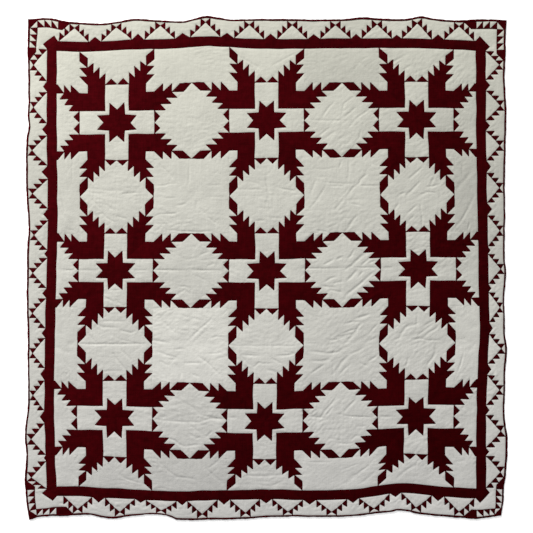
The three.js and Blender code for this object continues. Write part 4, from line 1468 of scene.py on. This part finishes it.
def border_patches(draft):
    """The border's patches: white pyramids, white and red feathers, the white ground between
    the pyramids, and the small red triangles on the frame."""
    found = {"pyramids": [], "white": [], "red": [], "ground": [], "small": []}
    tall = draft.tall
    for name in SIDES:
        side = Side(name, draft)
        for tip, (left, right) in zip(side.tips, side.feet):
            pyramid = [(left, 0), (right, 0), (tip, PYRAMID_RISE)]
            found["pyramids"].append(
                Patch([side.place(pyramid)], CELL_WHITE, inset=PYRAMID_INSET))
            tops = []
            for foot in (left, right):
                white, red, top = feather_slope(side, foot, tip)
                tops.append(top)
                found["white"] += [white_cut(side.place(outline)) for outline in white]
                found["red"] += [red_cut(side.place(outline)) for outline in red]
            head = [tops[0], (tip, PYRAMID_RISE), tops[1]]
            found["white"].append(white_cut(side.place(head)))
        for i in range(len(side.tips) - 1):
            left, right = side.feet[i][1], side.feet[i + 1][0]
            top_left = left + (side.tips[i] - left) * (TEETH - 1) / TEETH
            top_right = right + (side.tips[i + 1] - right) * (TEETH - 1) / TEETH
            middle = (left + right) / 2
            base_left, base_right = left + FOOT_GAP, right - FOOT_GAP
            rise = (base_right - base_left) * SMALL_RISE
            small = [(base_left, 0), (base_right, 0), (middle, rise)]
            found["small"].append(red_cut(side.place(small)))
            ground = [
                [(left, tall), (middle, tall), (right, tall), (top_right, draft.border),
                 (top_left, draft.border)],
                [(left, 0), (base_left, 0), (middle, rise), (middle, tall), (left, tall)],
                [(middle, rise), (base_right, 0), (right, 0), (right, tall), (middle, tall)],
            ]
            found["ground"].append(Patch([side.place(part) for part in ground], CELL_GROUND))
    return found


def corner_patches(draft):
    """The patches of the border's four corners, drafted as (u, v) out from the corner of the
    frame. Returns white teeth, red teeth, the white ground, and the red end pieces."""
    found = {"white": [], "red": [], "ground": [], "ends": []}
    cell, border, tall, width = CORNER_CELL, draft.border, draft.tall, draft.frame_width
    inner = border - cell
    cap = CAP / math.sqrt(2)
    sides = {name: Side(name, draft) for name in SIDES}
    for sign_x, upright in ((-1, "left"), (1, "right")):
        for sign_y, level in ((-1, "bottom"), (1, "top")):

            def place(outline, swap=False, sign_x=sign_x, sign_y=sign_y):
                """Points given as (u, v), or as (v, u) where swap is true, on the even top."""
                u, v = np.asarray(outline, float).T
                if swap:
                    u, v = v, u
                corner_y = draft.frame_top if sign_y > 0 else -draft.frame_bottom
                return np.stack([sign_x * (draft.frame_x + u), sign_y * (corner_y + v)], 1)

            ground = []
            for swap, side, sign in ((False, sides[level], sign_x),
                                     (True, sides[upright], sign_y)):
                last = -1 if sign > 0 else 0
                end = side.high if sign > 0 else side.low
                tip = abs(end - side.tips[last])
                foot = abs(end - side.feet[last][1 if sign > 0 else 0])
                # Where the line along the tips of the pyramid's feathers is at each height
                lean = (tip - foot) * (TEETH - 1) / TEETH / (border - tall)
                at_inner = border - (foot + (inner - tall) * lean)
                at_rim = border - (foot + (border - tall) * lean)
                step = min(cell, (border - at_inner - CORNER_INSET - cell) / TEETH)
                for k in range(TEETH):
                    near, far = inner - step * k, inner - step * (k + 1)
                    tooth = [(near, border), (near, inner), (far, inner)]
                    found["red"].append(red_cut(place(tooth, swap)))
                    between_teeth = [(near, border), (far, border), (far, inner)]
                    found["white"].append(white_cut(place(between_teeth, swap)))
                end_piece = [(far, border), (far, inner), (at_inner, inner), (at_rim, border)]
                found["ends"].append(red_cut(place(end_piece, swap)))
                foot_u = border - foot
                ground.append(place([(at_inner, inner), (foot_u, inner), (foot_u, tall)], swap))
                ground.append(place([(foot_u, 0), (-width, 0), (cap - width, cap),
                                     (cap - width, inner), (foot_u, inner), (foot_u, tall)],
                                    swap))
            a, b = (cap - width, cap), (cap, cap - width)
            ground.append(place([a, b, (inner, cap - width), (inner, inner),
                                 (cap - width, inner)]))
            found["ground"].append(Patch(ground, CELL_GROUND))
            last_white = [(inner, border), (border, inner), (inner, inner)]
            found["white"].append(white_cut(place(last_white)))
            for end in ([(inner, border), (border, border), (border, inner)],
                        [(-width, 0), a, b, (0, -width)]):
                found["ends"].append(red_cut(place(end)))
    return found


def frame_patches(draft):
    """The four frame strips, worked out in short lengths. The upright strips run the whole
    height and end in half squares, on which the caps stand."""
    found = []
    for near, far in ((draft.field_top, draft.frame_top),
                      (draft.field_bottom, draft.frame_bottom)):
        x = np.linspace(-draft.field_x, draft.field_x, FRAME_LENGTHS + 1)
        parts = [[(a, near), (b, near), (b, far), (a, far)] for a, b in zip(x, x[1:])]
        found.append(Patch(parts, CELL_FRAME))
    for sign in (-1, 1):
        near, far = sign * draft.field_x, sign * draft.frame_x
        y = np.linspace(draft.field_bottom, draft.field_top, FRAME_LENGTHS + 1)
        parts = [[(near, a), (far, a), (far, b), (near, b)] for a, b in zip(y, y[1:])]
        parts.append([(near, y[-1]), (far, y[-1]), (near, draft.frame_top)])
        parts.append([(near, y[0]), (far, y[0]), (near, draft.frame_bottom)])
        found.append(Patch(parts, CELL_FRAME))
    return found


# Section of the binding, from the face round the edge to the back.
# Columns: out from the rim as a share of its width, height as a share of its height.
BINDING_FACE = [
    (-0.05, 0.74), (0.02, 0.86), (0.14, 0.95), (0.35, 1.0), (0.60, 0.98), (0.80, 0.89),
    (0.93, 0.73), (1.0, 0.52), (0.99, 0.32), (0.92, 0.15), (0.78, 0.05), (0.60, 0.0),
]


def binding_strip(side, draft):
    """A folded strip of cloth: its section carried along the side, with a mitred end at each
    corner. Its width and height rise and fall a little along it, as a sum of waves."""
    low, high = side.low, side.high
    steps = int((high - low) / BINDING_STEP)
    along = np.linspace(low, high, steps + 1)
    back = [(-TURN_UNDER, 0.0), (-TURN_UNDER - 0.4, 0.5 * TURN_Z), (-TURN_UNDER, TURN_Z),
            (0.4, TURN_Z)]
    out = np.array([row[0] * draft.binding for row in BINDING_FACE] + [row[0] for row in back])
    tall = np.array([row[1] * draft.binding_height for row in BINDING_FACE]
                    + [row[1] for row in back])
    is_face = np.arange(len(out)) < len(BINDING_FACE)
    draw = np.random.default_rng((BINDING_SEED, SIDES.index(side.side)))
    swell = np.zeros(len(along))
    for length in SWELL_LENGTHS:
        swell += np.sin(math.tau * along / length + draw.uniform(0, math.tau))
    end = np.minimum(along - low, high - along)
    swell *= BINDING_SWELL * np.clip(end / SWELL_CLEAR, 0, 1)
    out_here = out * np.where(is_face, 1 + swell[:, None], 1)
    tall_here = tall * np.where(is_face & (tall > 1), 1 + swell[:, None] * 0.8, 1)
    place = np.repeat(along[:, None], len(out), 1)
    place[0] = low - out
    place[-1] = high + out
    mitred = np.clip(place, low - out, high + out)
    flat = side.place(np.stack([mitred.ravel(), draft.border + out_here.ravel()], 1))
    vertices = np.column_stack([draft.settle(flat), tall_here.ravel()])
    size = len(out)
    number = np.arange(len(vertices)).reshape(steps + 1, size)
    after = np.roll(number, -1, 1)
    walls = np.stack([number[:-1], number[1:], after[1:], after[:-1]], 2).reshape(-1, 4)
    faces = [walls, number[:1, ::-1], number[-1:]]
    if side.side in ("bottom", "right"):
        faces = [face[:, ::-1] for face in faces]
    return vertices, faces


def backing_solid(draft):
    """The plain back: two sheets over a grid, on the ground and just over it, closed round
    the rim. Close to the rim the lower one steps up over the binding's turned edge."""

    def lines(low, high):
        """Lines of the grid: even ones, and closer ones where the turned edge is."""
        inset = np.array(RIM_LINES)
        even = np.linspace(low + BACK_INSET, high - BACK_INSET, BACK_LINES)
        return np.concatenate([low + inset, even, high - inset[::-1]])

    x, y = lines(-draft.rim_x, draft.rim_x), lines(draft.rim_bottom, draft.rim_top)
    grid_x, grid_y = np.meshgrid(x, y, indexing="ij")
    flat = np.stack([grid_x.ravel(), grid_y.ravel()], 1)
    real = draft.settle(flat)
    low_z = np.where(draft.inside(flat) < TURN_UNDER, TURN_Z * 0.95, 0.0)
    top_z = np.full(len(flat), BACKING_Z)
    vertices = np.concatenate([np.column_stack([real, top_z]), np.column_stack([real, low_z])])
    number = np.arange(len(flat)).reshape(len(x), len(y))
    top = grid_cells(number)
    below = top[:, ::-1] + len(flat)
    rim = np.concatenate([number[:-1, 0], number[-1, :-1], number[:0:-1, -1], number[0, :0:-1]])
    after = np.roll(rim, -1)
    walls = np.stack([after, rim, rim + len(flat), after + len(flat)], 1)
    return vertices, [top, below, walls]


def stitch_marks(patches, draft):
    """Stitches along the quilting lines: for each the two ends, on the even top, and the
    number of its patch."""
    starts, ends, owners = [], [], []
    for number, patch in enumerate(patches):
        for a, b in np.concatenate([patch.keys, patch.lines]):
            length = np.linalg.norm(b - a)
            count = int(length / draft.stitch_pitch)
            if count < 2:
                continue
            way = (b - a) / length
            place = (np.arange(count) + 0.5) * length / count
            place = place + patch.draw.uniform(-STITCH_SLIP, STITCH_SLIP, count)
            half = draft.stitch / 2 * patch.draw.uniform(*STITCH_LENGTHS, count)
            off = patch.draw.normal(0, STITCH_STRAY, count)[:, None] * [-way[1], way[0]]
            starts.append(a + way * (place - half)[:, None] + off)
            ends.append(a + way * (place + half)[:, None] + off)
            owners.append(np.full(count, number))
    starts, ends = np.concatenate(starts), np.concatenate(ends)
    return starts - strayed(starts), ends - strayed(ends), np.concatenate(owners)


def stitch_piece(name, patches, material, slot, draft):
    """Small stitches, each a bead of thread with two pointed ends and four corners round
    its middle, standing a little over the cloth and sinking into it at its ends."""
    start, end, owners = stitch_marks(patches, draft)
    first, middle, last = [
        surface(draft, points, heights(patches, points, owners, draft)[0])
        for points in (start, (start + end) / 2, end)
    ]
    way = last[:, :2] - first[:, :2]
    way /= np.linalg.norm(way, axis=1)[:, None]
    across = np.column_stack([-way[:, 1], way[:, 0], np.zeros(len(way))])
    up = np.array([0, 0, 1.0])
    corners = [
        first - STITCH_SINK * up, last - STITCH_SINK * up,
        middle + across * STITCH_WIDTH / 2, middle - across * STITCH_WIDTH / 2,
        middle + STITCH_HEIGHT * up, middle - STITCH_DEPTH * up,
    ]
    vertices = np.stack(corners, 1).reshape(-1, 3)
    shape = np.array([[0, 4, 2], [0, 3, 4], [0, 2, 5], [0, 5, 3],
                      [1, 2, 4], [1, 4, 3], [1, 5, 2], [1, 3, 5]])
    faces = (np.arange(len(start))[:, None, None] * 6 + shape).reshape(-1, 3)
    mesh = cloth_mesh(name, vertices, [faces], sharp_angle=180)
    return shown(name, mesh, material, slot)


FLOAT, VECTOR, COLOR = "NodeSocketFloat", "NodeSocketVector", "NodeSocketColor"
# Painted light: how each cloth's colour changes across the quilt, as the light falls off from the top and the upper
# left.
WHITE_PAINTED_LIGHT = (0, -0.45, 0)  # share of the way to its second colour, to the metre
RED_PAINTED_LIGHT = (0.3, -0.25, 0)
WEAVE_SHARE = 0.25  # height of the plain weave's waves
SLUB_STRETCH = (12, 280)  # noise to the metre, along and across a thread
# Noises: scale to the metre, detail, roughness
SLOW_NOISE = (2.2, 3.0, 0.55)
FINE_NOISE = (42.0, 4.0, 0.6)
PUCKER_NOISE = (75.0, 3.0, 0.6)


def shader_group(name, inputs, outputs):
    """A new node group, the sockets that its inputs come in by, and those it puts out by."""
    group = bpy.data.node_groups.new(name, "ShaderNodeTree")
    for label, kind, value in inputs:
        socket = group.interface.new_socket(label, in_out="INPUT", socket_type=kind)
        if value is not None:
            socket.default_value = value
    for label, kind in outputs:
        group.interface.new_socket(label, in_out="OUTPUT", socket_type=kind)
    start, end = group.nodes.new("NodeGroupInput"), group.nodes.new("NodeGroupOutput")
    return group, start.outputs, end.inputs


def fed(tree, node, inputs):
    """Feeds a node's inputs, each from another node's socket or with a plain value."""
    for label, value in inputs.items():
        if isinstance(value, bpy.types.NodeSocket):
            tree.links.new(value, node.inputs[label])
        else:
            node.inputs[label].default_value = value
    return node.outputs


def shader_node(tree, kind, inputs, **settings):
    """A node with its settings and inputs, and its outputs by name or number."""
    node = tree.nodes.new("ShaderNode" + kind)
    for name, value in settings.items():
        setattr(node, name, value)
    return fed(tree, node, inputs)


def math_node(tree, operation, *values):
    """A Math node whose inputs are sockets or plain numbers."""
    return shader_node(tree, "Math", dict(enumerate(values)), operation=operation)[0]


def vector_node(tree, operation, first, second):
    """A Vector Math node's outputs."""
    return shader_node(tree, "VectorMath", {0: first, 1: second}, operation=operation)


def noise_node(tree, vector, scale, detail=2.0, rough=0.5):
    """Noise about 0.5, scale times to the metre."""
    return shader_node(tree, "TexNoise", {
        "Vector": vector, "Scale": scale, "Detail": detail, "Roughness": rough})["Fac"]


def painted_light_group():
    """A slow change across the quilt, from 0 to 1 about its middle along a direction: painted light, as the light
    falls off across the quilt.
    """
    group, start, end = shader_group(
        "slow_fade", [("Vector", VECTOR, None), ("Direction", VECTOR, None)],
        [("Share", FLOAT)])
    along = vector_node(group, "DOT_PRODUCT", start["Vector"], start["Direction"])["Value"]
    share = shader_node(group, "Clamp", {"Value": math_node(group, "ADD", along, 0.5)})
    group.links.new(share[0], end["Share"])
    return group


def weave_group():
    """Plain weave: the product of two waves across the threads, with thicker and thinner
    threads both ways from noise drawn out along them. Puts out a height about 0.5."""
    group, start, end = shader_group(
        "plain_weave",
        [("Vector", VECTOR, None), ("Threads", FLOAT, 1100.0), ("Slub", FLOAT, 0.5)],
        [("Height", FLOAT), ("Slub", FLOAT)])
    split = shader_node(group, "SeparateXYZ", {0: start["Vector"]})
    waves = [math_node(group, "SINE", math_node(group, "MULTIPLY", split[axis],
                                                start["Threads"])) for axis in ("X", "Y")]
    over = math_node(group, "MULTIPLY", *waves)
    slubs = [noise_node(group, vector_node(group, "MULTIPLY", start["Vector"], (*scale, 1))[0],
                        1.0)
             for scale in (SLUB_STRETCH, SLUB_STRETCH[::-1])]
    slub = math_node(group, "SUBTRACT", math_node(group, "ADD", *slubs), 1.0)
    group.links.new(slub, end["Slub"])
    total = math_node(group, "ADD", math_node(group, "MULTIPLY", over, WEAVE_SHARE),
                      math_node(group, "MULTIPLY", slub, start["Slub"]))
    group.links.new(math_node(group, "ADD", total, 0.5), end["Height"])
    return group


def mottle_group():
    """Uneven wear and washing: slow noise over the whole cloth with finer noise in it.
    Puts out a value about 0, and the height of the finest puckers, about 0.5."""
    group, start, end = shader_group(
        "washed_mottle",
        [("Vector", VECTOR, None), ("Slow", FLOAT, 0.6), ("Fine", FLOAT, 0.4)],
        [("Value", FLOAT), ("Pucker", FLOAT)])
    parts = []
    for label, noise in (("Slow", SLOW_NOISE), ("Fine", FINE_NOISE)):
        about_zero = math_node(group, "SUBTRACT", noise_node(group, start["Vector"], *noise), 0.5)
        parts.append(math_node(group, "MULTIPLY", about_zero, start[label]))
    group.links.new(math_node(group, "ADD", *parts), end["Value"])
    group.links.new(noise_node(group, start["Vector"], *PUCKER_NOISE), end["Pucker"])
    return group


def shade_group():
    """Brightens or darkens a colour: times one plus its mottle, its threads and its tone, less the shade that is
    painted along the seams."""
    group, start, end = shader_group(
        "cloth_shade",
        [("Color", COLOR, (1, 1, 1, 1)), ("Mottle", FLOAT, 0.0), ("Thread", FLOAT, 0.0),
         ("Tone", FLOAT, 0.0), ("Seam", FLOAT, 0.0), ("Thread Depth", FLOAT, 0.1),
         ("Seam Depth", FLOAT, 0.1)],
        [("Color", COLOR)])
    thread = math_node(group, "MULTIPLY", start["Thread"], start["Thread Depth"])
    # The shade painted along the seams.
    seam = math_node(group, "MULTIPLY", start["Seam"], start["Seam Depth"])
    total = math_node(group, "ADD", math_node(group, "ADD", start["Tone"], thread),
                      start["Mottle"])
    factor = math_node(group, "ADD", math_node(group, "SUBTRACT", total, seam), 1.0)
    scaled = shader_node(group, "VectorMath", {0: start["Color"], "Scale": factor},
                         operation="SCALE")
    group.links.new(scaled[0], end["Color"])
    return group


def cotton(name, colours, groups, patched, mottle, thread_depth, seam_shade_depth, pucker_height,
           painted_light_way):
    """A woven cotton. patched says that the piece has patches with their own threads and
    tone, which come from its UV map and its attributes."""
    material = bpy.data.materials.new(name)
    material.use_nodes = True
    material.diffuse_color = (*colours[0], 1)
    tree = material.node_tree

    def placed(group, **inputs):
        """The outputs of a node group that is placed in this material."""
        labels = {label.replace("_", " "): value for label, value in inputs.items()}
        return shader_node(tree, "Group", labels, node_tree=group)

    weave, mottled, shade, fade = groups
    place = shader_node(tree, "TexCoord", {})["Object"]
    along_threads = shader_node(tree, "UVMap", {}, uv_map="threads")["UV"] if patched else place
    threads = placed(weave, Vector=along_threads)
    blotch = placed(mottled, Vector=place, Slow=mottle[0], Fine=mottle[1])
    # Painted light: the colour goes over from the first to the second across the quilt, as the light falls off.
    painted_light_colour = shader_node(tree, "Mix", {
        "Factor": placed(fade, Vector=place, Direction=painted_light_way)["Share"],
        "A": (*colours[0], 1), "B": (*colours[1], 1)}, data_type="RGBA")["Result"]
    own = {}
    if patched:
        # Tone of each patch, and the shade painted along its seams.
        for label, attribute in (("Tone", "tone"), ("Seam", "seam")):
            own[label] = shader_node(tree, "Attribute", {}, attribute_name=attribute)["Fac"]
    shaded = placed(shade, Color=painted_light_colour, Mottle=blotch["Value"], Thread=threads["Slub"],
                    Thread_Depth=thread_depth, Seam_Depth=seam_shade_depth, **own)
    height = math_node(tree, "ADD",
                       math_node(tree, "MULTIPLY", threads["Height"], THREAD_HEIGHT),
                       math_node(tree, "MULTIPLY", blotch["Pucker"], pucker_height))
    lift = shader_node(tree, "Bump", {"Strength": 1.0, "Distance": MM, "Height": height})
    fed(tree, tree.nodes["Principled BSDF"], {
        "Base Color": shaded["Color"], "Roughness": 0.92, "Specular IOR Level": 0.015,
        "Normal": lift["Normal"]})
    return material


# Cloths and threads.
# Columns: name, colour, whether it has patches, slow and fine mottle, how much its threads are seen, how much shade is
# painted along its seams, height of its finest puckers in mm, and which way its painted light falls off.
CLOTHS = {
    "white": ("white_cotton_cloth", "white", True, (0.10, 0.14), 0.16, 0.03, 1.1, WHITE_PAINTED_LIGHT),
    "red": ("dark_red_cotton_cloth", "red", True, (0.50, 1.10), 0.70, 0.06, 0.9, RED_PAINTED_LIGHT),
    "binding": ("binding_cotton_cloth", "red", False, (0.30, 0.30), 0.45, 0, 0, RED_PAINTED_LIGHT),
    "backing": ("backing_cotton_cloth", "white", False, (0.06, 0.05), 0.10, 0, 0.8, WHITE_PAINTED_LIGHT),
    "thread": ("quilting_thread", "white", False, (0.05, 0.08), 0.10, 0, 0, WHITE_PAINTED_LIGHT),
    "red_thread": ("dark_quilting_thread", "red", False, (0.30, 0.30), 0.30, 0, 0, RED_PAINTED_LIGHT),
}


class Finish:
    """The quilt's cloths, each made once, when the first piece asks for one."""

    made = {}

    @classmethod
    def get(cls, name):
        """The cloth of this name."""
        if not cls.made:
            colours = bpy.context.scene.quilt_colours
            groups = (weave_group(), mottle_group(), shade_group(), painted_light_group())
            shades = {"white": (tuple(colours.white), tuple(colours.white_low)),
                      "red": (tuple(colours.red), tuple(colours.red_low))}
            for key, (label, colour, *looks) in CLOTHS.items():
                cls.made[key] = cotton(label, shades[colour], groups, *looks)
        return cls.made[name]


PATCHES = {}


def drafted(context):
    """All the patches, made once, because their neighbours and stitches need them too."""
    if not PATCHES:
        draft = Draft(context.scene.quilt_sizes)
        sides, corners = border_patches(draft), corner_patches(draft)
        PATCHES["white"] = {
            "white_setting_squares": setting_patches(draft),
            "white_turned_squares": turned_patches(draft),
            "white_crosses": cross_patches(draft),
            "white_feathers": white_feather_patches(draft),
            "white_pyramids": sides["pyramids"],
            "white_border_ground": sides["ground"] + corners["ground"],
            "white_border_feathers": sides["white"] + corners["white"],
        }
        PATCHES["red"] = {
            "red_stars": star_patches(draft),
            "red_chevrons": chevron_patches(draft),
            "red_feathers": red_feather_patches(draft),
            "red_diamonds": diamond_patches(draft),
            "red_frame": frame_patches(draft),
            "red_border_feathers": sides["red"] + corners["red"],
            "red_border_ends": sides["small"] + corners["ends"],
        }
        for pieces in PATCHES.values():
            soften([patch for patches in pieces.values() for patch in patches])
    return PATCHES


class PieceOperator:
    """What the operators that piece cloth have in common: the names of their pieces."""

    bl_options = {"REGISTER", "UNDO"}

    def execute(self, context):
        for name in self.pieces:
            colour = name.split("_")[0]
            slot = {"white": WHITE_SLOT, "red": RED_SLOT}[colour]
            draft = Draft(context.scene.quilt_sizes)
            patches = drafted(context)[colour][name]
            sewn_piece(name, patches, Finish.get(colour), slot, draft)
        return {"FINISHED"}


class QUILT_OT_setting_squares(PieceOperator, bpy.types.Operator):
    """Large white squares between four blocks, quilted from corner to corner"""

    bl_idname = "quilt.setting_squares"
    bl_label = "Setting squares"
    pieces = ("white_setting_squares",)


class QUILT_OT_turned_squares(PieceOperator, bpy.types.Operator):
    """White squares that stand on a corner between two blocks"""

    bl_idname = "quilt.turned_squares"
    bl_label = "Turned squares"
    pieces = ("white_turned_squares",)


class QUILT_OT_crosses(PieceOperator, bpy.types.Operator):
    """White crosses round the stars"""

    bl_idname = "quilt.crosses"
    bl_label = "Crosses"
    pieces = ("white_crosses",)


class QUILT_OT_stars(PieceOperator, bpy.types.Operator):
    """Dark red stars, of eight diamonds each"""

    bl_idname = "quilt.stars"
    bl_label = "Stars"
    pieces = ("red_stars",)


class QUILT_OT_chevrons(PieceOperator, bpy.types.Operator):
    """Dark red chevrons and the diamonds at their ends"""

    bl_idname = "quilt.chevrons"
    bl_label = "Chevrons"
    pieces = ("red_chevrons", "red_diamonds")


class QUILT_OT_feathers(PieceOperator, bpy.types.Operator):
    """Strips of small feather triangles, white and dark red"""

    bl_idname = "quilt.feathers"
    bl_label = "Feathers"
    pieces = ("white_feathers", "red_feathers")


class QUILT_OT_frame(PieceOperator, bpy.types.Operator):
    """Dark red frame strips round the field"""

    bl_idname = "quilt.frame"
    bl_label = "Frame"
    pieces = ("red_frame",)


class QUILT_OT_border(PieceOperator, bpy.types.Operator):
    """Border of white pyramids with dark red feathers, and its pieced corners"""

    bl_idname = "quilt.border"
    bl_label = "Border"
    pieces = ("white_pyramids", "white_border_ground", "white_border_feathers",
              "red_border_feathers", "red_border_ends")


class QUILT_OT_binding(bpy.types.Operator):
    """Narrow folded binding, a strip for each side, mitred at the corners"""

    bl_idname = "quilt.binding"
    bl_label = "Binding"

    def execute(self, context):
        draft = Draft(context.scene.quilt_sizes)
        material = Finish.get("binding")
        for name in SIDES:
            mesh = cloth_mesh(f"{name}_binding", *binding_strip(Side(name, draft), draft))
            shown(f"{name}_binding", mesh, material, RED_SLOT, f"binding_{name}")
        return {"FINISHED"}


class QUILT_OT_stitches(bpy.types.Operator):
    """Small quilting stitches on the white and the dark red patches"""

    bl_idname = "quilt.stitches"
    bl_label = "Stitches"

    def execute(self, context):
        draft = Draft(context.scene.quilt_sizes)
        made = drafted(context)
        sewn = [made["white"][name] for name in (
            "white_setting_squares", "white_turned_squares", "white_crosses", "white_pyramids")]
        stitch_piece("white_stitches", sum(sewn, []), Finish.get("thread"), WHITE_SLOT, draft)
        stitch_piece("red_stitches", made["red"]["red_chevrons"], Finish.get("red_thread"),
                     RED_SLOT, draft)
        return {"FINISHED"}


class QUILT_OT_backing(bpy.types.Operator):
    """Plain back of the quilt, declared as one sheet with all that is sewn on it"""

    bl_idname = "quilt.backing"
    bl_label = "Backing"

    def execute(self, context):
        draft = Draft(context.scene.quilt_sizes)
        mesh = cloth_mesh("quilt_back", *backing_solid(draft))
        sewn_on = [piece for piece in bpy.data.objects if "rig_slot" in piece]
        back = shown("quilt_back", mesh, Finish.get("backing"), WHITE_SLOT, "quilt")
        flat = (2 * draft.edge_x * MM, (draft.edge_top - draft.edge_bottom) * MM)
        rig.sheet(back, flat=flat, held="laid", with_pieces=sewn_on)
        return {"FINISHED"}


FLOOR_HALF = 40.0  # metres
FLOOR_Z = -0.0004
CLOTH_Z = 0.006  # about how high the patches are, where the view's width is measured
SENSOR = 36.0
KEY_PLACE = (-0.35, 1.0, 0.47)
LAMP_PLACE = (-3.0, 3.0, 2.5)


def light_at(name, kind, place, energy, colour, **settings):
    """A light at a place, turned to shine at the middle of the quilt."""
    light = bpy.data.lights.new(name, kind)
    light.energy = energy
    light.color = colour
    for setting, value in settings.items():
        setattr(light, setting, value)
    lamp = bpy.data.objects.new(name, light)
    x, y, z = place
    lamp.location = place
    lamp.rotation_euler = (math.atan2(math.hypot(x, y), z), 0, math.atan2(-y, -x) - math.pi / 2)
    bpy.context.scene.collection.objects.link(lamp)


class QUILT_OT_stage(bpy.types.Operator):
    """Pale floor, soft light from the top edge's side, and a camera straight above"""

    bl_idname = "quilt.stage"
    bl_label = "Stage"

    def execute(self, context):
        stage = context.scene.quilt_stage
        scene = context.scene
        scene.view_settings.view_transform = "Standard"
        mesh = bpy.data.meshes.new("floor")
        mesh.from_pydata([(x * FLOOR_HALF, y * FLOOR_HALF, FLOOR_Z)
                          for x, y in ((-1, -1), (1, -1), (1, 1), (-1, 1))], [], [(0, 1, 2, 3)])
        floor = bpy.data.objects.new("floor", mesh)
        scene.collection.objects.link(floor)
        material = bpy.data.materials.new("pale_floor")
        material.use_nodes = True
        fed(material.node_tree, material.node_tree.nodes["Principled BSDF"], {
            "Base Color": (0.93, 0.93, 0.93, 1), "Roughness": 0.9, "Specular IOR Level": 0.0,
            "Emission Color": (1, 1, 1, 1), "Emission Strength": 0.5})
        mesh.materials.append(material)
        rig.stage(floor)

        world = bpy.data.worlds.new("even_light")
        world.use_nodes = True
        scene.world = world
        fed(world.node_tree, world.node_tree.nodes["Background"],
            {"Color": (0.98, 0.99, 1.0, 1), "Strength": stage.fill})

        light_at("soft_key", "SUN", KEY_PLACE, stage.key, (1.0, 0.995, 0.97),
                 angle=math.radians(20))
        light_at("side_lamp", "AREA", LAMP_PLACE, stage.side_lamp, (1.0, 0.985, 0.94),
                 shape="SQUARE", size=2.0)

        view = bpy.data.cameras.new("camera")
        view.sensor_width = SENSOR
        view.lens = SENSOR * (stage.camera_height - CLOTH_Z) / stage.view_width
        camera = bpy.data.objects.new("camera", view)
        camera.location = (stage.view_x, stage.view_y, stage.camera_height)
        scene.collection.objects.link(camera)
        scene.camera = camera
        return {"FINISHED"}


PIECE_OPERATORS = (
    QUILT_OT_setting_squares,
    QUILT_OT_turned_squares,
    QUILT_OT_crosses,
    QUILT_OT_stars,
    QUILT_OT_chevrons,
    QUILT_OT_feathers,
    QUILT_OT_frame,
    QUILT_OT_border,
    QUILT_OT_binding,
    QUILT_OT_stitches,
    QUILT_OT_backing,
    QUILT_OT_stage,
)


class QUILT_PT_panel(bpy.types.Panel):
    """Lists the steps of making the quilt, with its sizes and colours"""

    bl_label = "Quilt"
    bl_idname = "QUILT_PT_panel"
    bl_space_type = "VIEW_3D"
    bl_region_type = "UI"
    bl_category = "Quilt"

    def draw(self, context):
        for group in (context.scene.quilt_sizes, context.scene.quilt_colours,
                      context.scene.quilt_stage):
            box = self.layout.box()
            for name in group.bl_rna.properties.keys():
                if name not in ("rna_type", "name"):
                    box.prop(group, name)
        for step in PIECE_OPERATORS:
            self.layout.operator(step.bl_idname)


CLASSES = (QuiltSizes, QuiltColours, QuiltStage, *PIECE_OPERATORS, QUILT_PT_panel)


def register():
    """Adds the classes, and the sizes, colours and stage to the scene."""
    for cls in CLASSES:
        bpy.utils.register_class(cls)
    bpy.types.Scene.quilt_sizes = PointerProperty(type=QuiltSizes)
    bpy.types.Scene.quilt_colours = PointerProperty(type=QuiltColours)
    bpy.types.Scene.quilt_stage = PointerProperty(type=QuiltStage)


def unregister():
    """Takes off all that register adds."""
    del bpy.types.Scene.quilt_stage
    del bpy.types.Scene.quilt_colours
    del bpy.types.Scene.quilt_sizes
    for cls in reversed(CLASSES):
        bpy.utils.unregister_class(cls)


def main():
    """Makes the quilt step by step and writes down its size."""
    register()
    for step in PIECE_OPERATORS:
        group, name = step.bl_idname.split(".")
        getattr(getattr(bpy.ops, group), name)()
    visual_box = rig.bounds()
    with open(SIZE_FILE, "w") as file:
        json.dump({"cad": [list(corner) for corner in CAD_BOX],
                   "visual": [list(corner) for corner in visual_box]}, file)


if __name__ == "__main__":
    main()
